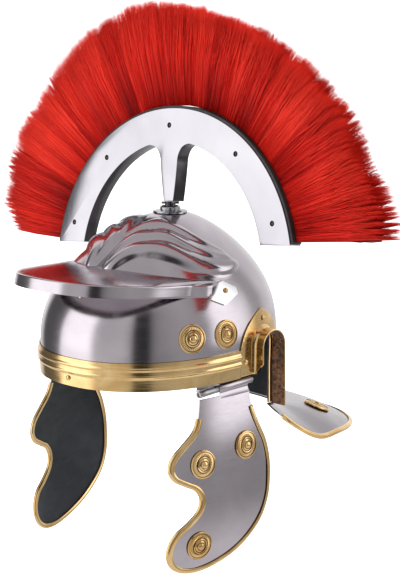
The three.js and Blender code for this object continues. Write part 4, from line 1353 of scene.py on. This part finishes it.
def crestPoint(angle, radius, y):
    turn = np.radians(angle)
    return np.stack([
        radius * np.sin(turn), crest["setBack"] + y, crest["centre"] + radius * np.cos(turn),
    ], -1)


def buildCrestBox():
    half, sheet = crest["depth"] / 2, crest["sheet"]
    box = toObject("crestBox", prism(crestOutline(0, crest["radius"]), -half, half, crestPlace))
    roundEdges(box, 0.35, 3, 50)
    room = crestOutline(sheet, crest["radius"] + 5)
    cutter = toObject("crestRoom", prism(room, -half + sheet, half - sheet, crestPlace))
    combine(box, cutter, "DIFFERENCE")
    for angle in crest["pinAngles"]:
        spot = crestPoint(angle, crest["radius"] - crest["pinsIn"], -half)
        place = Matrix.Translation(Vector(spot)) @ turnDegrees(90, "X")
        combine(box, toObject("pinHole", cylinder(crest["pinHole"], 4, place, 32)), "DIFFERENCE")

    def sides(at, normal):
        rim = np.hypot(at[:, 0], at[:, 2] - crest["centre"]) > crest["radius"] - 2
        return (np.abs(normal[:, 1]) < 0.5) & ~rim

    # The box's side faces, apart from the outer rim, take the near-black steel as painted shade.
    paintFaces(box, sides, 1)
    finishPiece(box, "crest", [crestSteel, crestShadeSteel], ["crest_box"], 40, crestSeat)


def buildCrestBlock():
    clear = crest["sheet"] + crest["play"]
    outer = crest["radius"] + crest["blockStand"]
    inner = crest["armInner"][1] + clear + 1
    foot = crest["foot"] + clear
    dropOut, dropIn = (math.degrees(math.asin((foot - crest["centre"]) / r)) for r in (outer, inner))
    outline = join(
        arc((0, crest["centre"]), (outer, outer), dropOut, 180 - dropOut, 120),
        arc((0, crest["centre"]), (inner, inner), 180 - dropIn, dropIn, 90),
    )
    half = crest["depth"] / 2 - clear
    block = toObject("crestBlock", prism(outline, -half, half, crestPlace))
    roundEdges(block, 0.5, 2, 50)
    finishPiece(block, "crest", [blackPaint], ["crest_block"], 40, crestSeat)


def buildCrestPins():
    half = crest["depth"] / 2
    for i, angle in enumerate(crest["pinAngles"], 1):
        low = -half + crest["sheet"] + crest["play"] - gap
        spot = crestPoint(angle, crest["radius"] - crest["pinsIn"], low)
        place = crestSeat @ Matrix.Translation(Vector(spot)) @ turnDegrees(90, "X")
        # The pin heads take the near-black steel, as painted shade in their holes.
        addRivet(
            f"crestPin{i}", f"crest_pin_{i}", place, crestShadeSteel, "crest",
            crest["pinRadius"],
        )


# Socket on the crown, and the foot that turns in it.

socket = {
    "radius": 16.0, "sheet": 1.4, "collarRadius": 9.5, "collarWall": 2.0, "collarHeight": 3.8,
    "stem": 5.0, "lugHalfLength": 10.5, "lugHalfWidth": 2.6, "lugSheet": 2.2,
}


def crownDrop(angle, radius):
    # How far under the crown the bowl is as wide as this radius.
    def wide(height):
        spot = bowlPoint(angle, height)
        return np.hypot(spot[:, 0], spot[:, 1] - bowl["crownSetBack"]) > radius

    return bowl["height"] - halved(angle.shape, bowl["height"], wide, 30)[0]


def buildSocket():
    top = gap + socket["sheet"]
    inner = socket["collarRadius"] - socket["collarWall"]
    size, collar = socket["radius"], socket["collarHeight"]
    spread = [(inner + (size - inner) * k / 8, 1.2 * gap) for k in range(9)]
    back = [(size - (size - socket["collarRadius"]) * k / 8, top) for k in range(9)]
    bm = spun([
        (0, gap), *spread, (size + 0.3, top * 0.6), *back,
        (socket["collarRadius"], collar - 0.4), (socket["collarRadius"] - 0.4, collar),
        (inner + 0.3, collar), (inner, collar - 0.3), (inner, top), (0, top),
    ], 72)
    places = np.array([vert.co[:] for vert in bm.verts])
    reach = np.hypot(places[:, 0], places[:, 1])
    drop = crownDrop(np.arctan2(places[:, 0], -places[:, 1]), np.maximum(reach, 0.1))
    drop = np.where((reach < 0.1) | (places[:, 2] > collar - 1), 0, drop)
    places += np.stack([0 * drop, 0 * drop + bowl["crownSetBack"], bowl["height"] - drop], -1)
    for vert, spot in zip(bm.verts, places):
        vert.co = spot
    finishPiece(toObject("crestSocketDisc", bm), "helmet", [hingeSteel], ["crest_socket"])

    low, lugTop = gap + socket["sheet"] + 1.3, crest["postFoot"] - gap
    bm = spun([(0, low), (socket["stem"], low), (socket["stem"], lugTop), (0, lugTop)], 48)
    foot = toObject("crestFootStem", bm)
    long, wide = socket["lugHalfLength"], socket["lugHalfWidth"]
    ends = join(
        arc((long - wide, 0), (wide, wide), -90, 90, 12), arc((wide - long, 0), (wide, wide), 90, 270, 12)
    )
    lug = toObject("crestLug", prism(ends, lugTop - socket["lugSheet"], lugTop, lambda u, v, w: (u, v, w)))
    roundEdges(lug, 0.3)
    joinInto(foot, lug)
    # The foot takes the near-black steel, as painted shade under the post.
    finishPiece(foot, "crest", [crestShadeSteel], ["crest_foot"], 40, crestSeat)


buildCrestBox()
buildCrestBlock()
buildCrestPins()
buildSocket()
print("crest ready")


# Plume: bristles in locks round a core, rooted along the block's top.

plume = {
    "radius": 240.0,
    "halfDepth": 18.0,
    "rootHalf": crest["depth"] / 4,
    "rootShift": 2.5,  # the roots stand behind the middle of the box, the tips before it
    "tipShift": -2.5,
    "footAngle": 79.5,
    "doublings": 13,  # 2 to this power bristles in each piece
    "pieces": 6,
    "apart": 4.0,
    "coreReach": 0.8,
    "coreShare": 0.5,  # of the plume's own depth
    "locks": 110,
    "tufts": 420,
    "width": 0.42,
    "seed": 7,
    "widen": (1.15, 0.75),  # how soon and how fully the hair spreads across from its root
    "sidePower": 0.55,  # below 1 more bristles stand at the two faces
    "lockPull": (0.1, 0.6),
    "lockWeights": (24, 0.6),  # how much nearness counts, along and aside
    "tuftPull": (0.3, 1.0),
    # The bristles are painted darker towards the root, as painted shade where they crowd together.
    "shades": (0.30, 0.80),  # at the root and at the tip
    # degrees from the top, share of the full radius
    "tips": [
        [-80, 0.86], [-74, 0.965], [-64, 1], [-57, 1.03], [-47, 1], [-36, 1.045], [-21, 1.065],
        [-9, 1.065], [0, 1.045], [11, 1.02], [21, 1.01], [32, 1.015], [42, 1.02], [51, 1.035],
        [58, 1.05], [64, 1.03], [71, 1.055], [77, 1.085], [83, 1.09],
    ],
}
plumeRoot = crest["radius"] + crest["blockStand"] + 2 * gap


def tipRadius(angle):
    angles, shares = zip(*plume["tips"])
    return plume["radius"] * np.interp(angle, angles, shares)


def plumeSpot(t, share, aside):
    # t runs along the plume, share from root to tip, aside is across it.
    first, last = plume["tips"][0][0], plume["tips"][-1][0]
    tip = lerp(first, last, t)
    root = lerp(-plume["footAngle"], plume["footAngle"], t)
    angle = lerp(root, tip, np.minimum(1, 1.4 * share))
    shift = lerp(plume["rootShift"], plume["tipShift"], np.clip(share, 0, 1))
    return crestPoint(angle, lerp(plumeRoot, tipRadius(tip), share), aside + shift)


def setShade(obj, values):
    layer = obj.data.attributes.new("shade", "FLOAT", "POINT")
    layer.data.foreach_set("value", values.astype(np.float32))


def plumeWide(share):
    pace, power = plume["widen"]
    spread = np.clip(np.asarray(share) * pace, 0, 1) ** power
    return lerp(plume["rootHalf"], plume["halfDepth"], spread)


def buildPlumeCore():
    shares = np.linspace(0, plume["coreReach"], 9)
    edge = np.stack([shares, plume["coreShare"] * plumeWide(shares)], -1)
    section = join(edge, edge[::-1] * (1, -1))
    core = toObject("plumeCore", sweep(section, 120, lambda u, v, t: plumeSpot(t, u, v)))
    # The core takes the darkest red, as painted shade deep among the bristles.
    setShade(core, np.full(len(core.data.vertices), 0.05))
    finishPiece(core, "crest", [redHair], ["plume"], 60, crestSeat)


def bristleField():
    # One closed three-sided bristle, doubled and set apart until there are enough.
    bm = bmesh.new()
    bmesh.ops.create_cone(bm, cap_ends=True, segments=3, radius1=1, radius2=1, depth=1)
    rising = [edge for edge in bm.edges if abs(edge.verts[0].co.z - edge.verts[1].co.z) > 0.5]
    bmesh.ops.subdivide_edges(bm, edges=rising, cuts=1, use_grid_fill=True)
    tip = [vert for vert in bm.verts if vert.co.z > 0.4]
    bmesh.ops.pointmerge(bm, verts=tip, merge_co=(0, 0, 0.5))
    for doubling in range(plume["doublings"]):
        twin = bmesh.ops.duplicate(bm, geom=bm.faces[:])["geom"]
        verts = [item for item in twin if isinstance(item, bmesh.types.BMVert)]
        bmesh.ops.translate(bm, verts=verts, vec=(plume["apart"] * 2**doubling, 0, 0))
    return bm


def buildBristles():
    rng = np.random.default_rng(plume["seed"])
    total = 2 ** plume["doublings"]
    lockAt = np.sort(rng.uniform(0, 1, plume["locks"]))
    lockAside = rng.uniform(-1, 1, plume["locks"])
    lockReach = rng.uniform(0.985, 1.02, plume["locks"])
    lockShade = rng.normal(0, 0.14, plume["locks"])
    tuftAt = np.sort(rng.uniform(0, 1, plume["tufts"]))
    tuftReach = rng.uniform(0.985, 1.015, plume["tufts"])
    for k in range(plume["pieces"]):
        piece = toObject(f"plumeBristles{k + 1}", bristleField())
        local = np.empty(len(piece.data.vertices) * 3)
        piece.data.vertices.foreach_get("co", local)
        local = local.reshape(-1, 3)
        which = np.rint(local[:, 0] / plume["apart"]).astype(int)
        share = local[:, 2] + 0.5
        start = rng.uniform(k / plume["pieces"], (k + 1) / plume["pieces"], total)
        side = rng.uniform(-1, 1, total)
        side = np.sign(side) * np.abs(side) ** plume["sidePower"]
        along, aside = plume["lockWeights"]
        apart = np.abs(start[:, None] - lockAt) * along + np.abs(side[:, None] - lockAside) * aside
        lock = np.argmin(apart, axis=1)
        pull = rng.uniform(*plume["lockPull"], total)
        end = lerp(start, lockAt[lock], pull) + rng.normal(0, 0.008, total)
        sideEnd = lerp(side, lockAside[lock], pull * 0.5) + rng.normal(0, 0.05, total)
        tuft = np.argmin(np.abs(end[:, None] - tuftAt), axis=1)
        endTuft = lerp(end, tuftAt[tuft], rng.uniform(*plume["tuftPull"], total))
        reach = lockReach[lock] * tuftReach[tuft] * rng.uniform(0.95, 1.0, total)
        at = lerp(start[which], end[which], share**1.4)
        at = np.clip(at + (endTuft - end)[which] * share**3, 0, 1)
        aside = np.clip(lerp(side[which], sideEnd[which], share), -1.02, 1.02) * plumeWide(share)
        along = share * reach[which]
        spot = plumeSpot(at, along, aside)
        across = unit(plumeSpot(at + 1e-3, along, aside) - plumeSpot(at - 1e-3, along, aside))
        corner = np.arctan2(local[:, 1], local[:, 0] - which * plume["apart"])
        corner += rng.uniform(0, 2 * math.pi, total)[which]
        thick = plume["width"] * rng.uniform(0.7, 1.25, total)[which] * (share < 0.9)
        spot = spot + across * (np.cos(corner) * thick)[:, None]
        spot[:, 1] += np.sin(corner) * thick
        piece.data.vertices.foreach_set("co", spot.reshape(-1))
        # Painted shade: each bristle darkens towards its root.
        tone = lerp(*plume["shades"], share**0.8) + lockShade[lock][which]
        tone += rng.normal(0, 0.13, total)[which]
        setShade(piece, np.clip(tone, 0.02, 1))
        closed = bmesh.new()
        closed.from_mesh(piece.data)
        bmesh.ops.recalc_face_normals(closed, faces=closed.faces[:])
        closed.to_mesh(piece.data)
        closed.free()
        finishPiece(piece, "crest", [redHair], ["plume"], 80, crestSeat)


buildPlumeCore()
buildBristles()
print("plume ready")


# Studio: a pale floor, a soft surround and large lamps.

studio = {
    "floorDrop": -0.42,
    "floorSize": 60.0,
    "azimuth": 42.82,
    "elevation": 11.85,
    "roll": -0.56,
    "distance": 1660.6,
    "aim": (33.0, 68.6),  # how far the aim lies across and up from the origin
    "focal": 1751.6,  # in pixels of a 400 by 574 image
    "imageHeight": 574,
    "sensor": 36.0,
}


# degrees round and up, metres away, width and height, watts
lamps = {
    "keyLamp": (20, 40, 1.6, (1.2, 1.2), 22),
    "fillLamp": (95, 25, 1.8, (1.0, 1.4), 13),
    "backLamp": (215, 45, 1.8, (1.4, 1.0), 10),
}


def buildFloor():
    bm = bmesh.new()
    bmesh.ops.create_grid(bm, x_segments=4, y_segments=4, size=studio["floorSize"] / 2)
    bmesh.ops.translate(bm, verts=bm.verts, vec=(0, 0, studio["floorDrop"]))
    floor = toObject("studioFloor", bm)
    material, tree, shader = blankMaterial("floorPaper")
    look = {
        "Base Color": (0.9, 0.9, 0.9, 1), "Roughness": 0.9,
        "Emission Color": (1, 1, 1, 1), "Emission Strength": 0.9,
    }
    for label, value in look.items():
        feed(tree, value, shader[label])
    floor.data.materials.append(material)
    floor.visible_glossy = False
    floor.visible_diffuse = False


def buildSurround():
    # Soft light from all round, in upright bands like those of a photographer's tent.
    look = {
        # degrees round from the face towards the wearer's left, then brightness
        "bands": [
            (-90, 0.13), (-72, 0.14), (-59, 0.22), (-54, 1.9), (-22, 2.0), (-13, 0.8), (-4, 0.7),
            (22, 0.8), (31, 0.65), (37, 0.05), (52, 0.03), (58, 0.3), (65, 0.42), (90, 0.55),
            (110, 0.45), (117, 1.8), (132, 2.0), (141, 1.3), (150, 0.55), (160, 0.55), (173, 0.95),
            (195, 1.05), (212, 1.05), (234, 1.2), (250, 1.2), (259, 0.5), (264, 0.13), (270, 0.13),
        ],
        # the same below eye level, where a table edge darkens one side
        "lowBands": [
            (-90, 0.13), (-72, 0.16), (-61, 0.3), (-55, 1.7), (-22, 1.7), (-13, 0.8), (22, 0.7),
            (31, 0.55), (37, 0.05), (52, 0.04), (58, 0.3), (90, 0.5), (110, 0.42), (143, 0.40),
            (160, 0.5), (195, 0.8), (250, 0.9), (259, 0.5), (264, 0.13), (270, 0.13),
        ],
        "top": 0.62,
        "bottom": 0.85,
        # heights of a direction between which one layer gives way to the next
        "toLow": (-0.09, -0.17), "toTop": (0.62, 0.85), "toBottom": (-0.36, -0.46),
    }
    world = bpy.data.worlds.new("tent")
    bpy.context.scene.world = world
    world.use_nodes = True
    tree = world.node_tree
    background = tree.nodes["Background"].inputs
    background["Color"].default_value = (1, 1, 1, 1)
    direction = addNode(tree, "TexCoord", {}).outputs["Generated"]
    x, y, height = addNode(tree, "SeparateXYZ", {0: direction}).outputs
    turn = addNode(tree, "Math", {0: y, 1: x}, operation="ARCTAN2")
    roundShare = rangeNode(tree, turn.outputs[0], -math.pi, math.pi)

    def bandRing(bands):
        ramp = addNode(tree, "ValToRGB", {"Fac": roundShare})
        elements = ramp.color_ramp.elements
        brightest = max(value for _, value in bands)
        for degrees, _ in bands[1:-1]:
            elements.new((degrees + 90) / 360)
        for element, (_, value) in zip(elements, bands):
            level = value / brightest
            element.color = (level, level, level, 1)
        inputs = {0: ramp.outputs["Color"], 1: brightest}
        return addNode(tree, "Math", inputs, operation="MULTIPLY").outputs[0]

    def layer(name, below, above):
        return mixNumber(tree, rangeNode(tree, height, *look[name]), below, above)

    ring = layer("toLow", bandRing(look["bands"]), bandRing(look["lowBands"]))
    tent = layer("toBottom", layer("toTop", ring, look["top"]), look["bottom"])
    seen = addNode(tree, "LightPath", {}).outputs["Is Camera Ray"]
    feed(tree, mixNumber(tree, seen, tent, 1.0), background["Strength"])


def awayAt(azimuth, elevation):
    # A direction, in degrees round from the face towards the wearer's left, and up.
    a, e = math.radians(azimuth), math.radians(elevation)
    return Vector((math.sin(a) * math.cos(e), -math.cos(a) * math.cos(e), math.sin(e)))


def addLamp(name, azimuth, elevation, distance, size, power):
    # A large soft lamp that looks at the helmet, hidden from reflections.
    data = bpy.data.lights.new(name, "AREA")
    data.shape, data.size, data.size_y, data.energy = "RECTANGLE", size[0], size[1], power
    lamp = bpy.data.objects.new(name, data)
    away = awayAt(azimuth, elevation)
    lamp.location = away * distance + Vector((0, 0, 0.05))
    lamp.rotation_euler = away.to_track_quat("Z", "Y").to_euler()
    lamp.visible_glossy = False
    bpy.context.scene.collection.objects.link(lamp)


def buildCamera():
    a, r = (math.radians(studio[key]) for key in ("azimuth", "roll"))
    back = awayAt(studio["azimuth"], studio["elevation"])
    right = Vector((math.cos(a), math.sin(a), 0))
    up = back.cross(right)
    rolledRight = right * math.cos(r) + up * math.sin(r)
    rolledUp = up * math.cos(r) - right * math.sin(r)
    place = back * studio["distance"] + rolledRight * studio["aim"][0] + rolledUp * studio["aim"][1]
    data = bpy.data.cameras.new("camera")
    data.sensor_fit = "AUTO"
    data.sensor_width = studio["sensor"]
    data.lens = studio["focal"] / studio["imageHeight"] * studio["sensor"]
    camera = bpy.data.objects.new("camera", data)
    turn = Matrix((rolledRight, rolledUp, back)).transposed().to_4x4()
    camera.matrix_world = Matrix.Translation(place * mm) @ turn
    bpy.context.scene.collection.objects.link(camera)
    bpy.context.scene.camera = camera


bpy.context.scene.view_settings.view_transform = "Standard"
buildFloor()
buildSurround()
for lampName, values in lamps.items():
    addLamp(lampName, *values)
buildCamera()
print("studio ready")
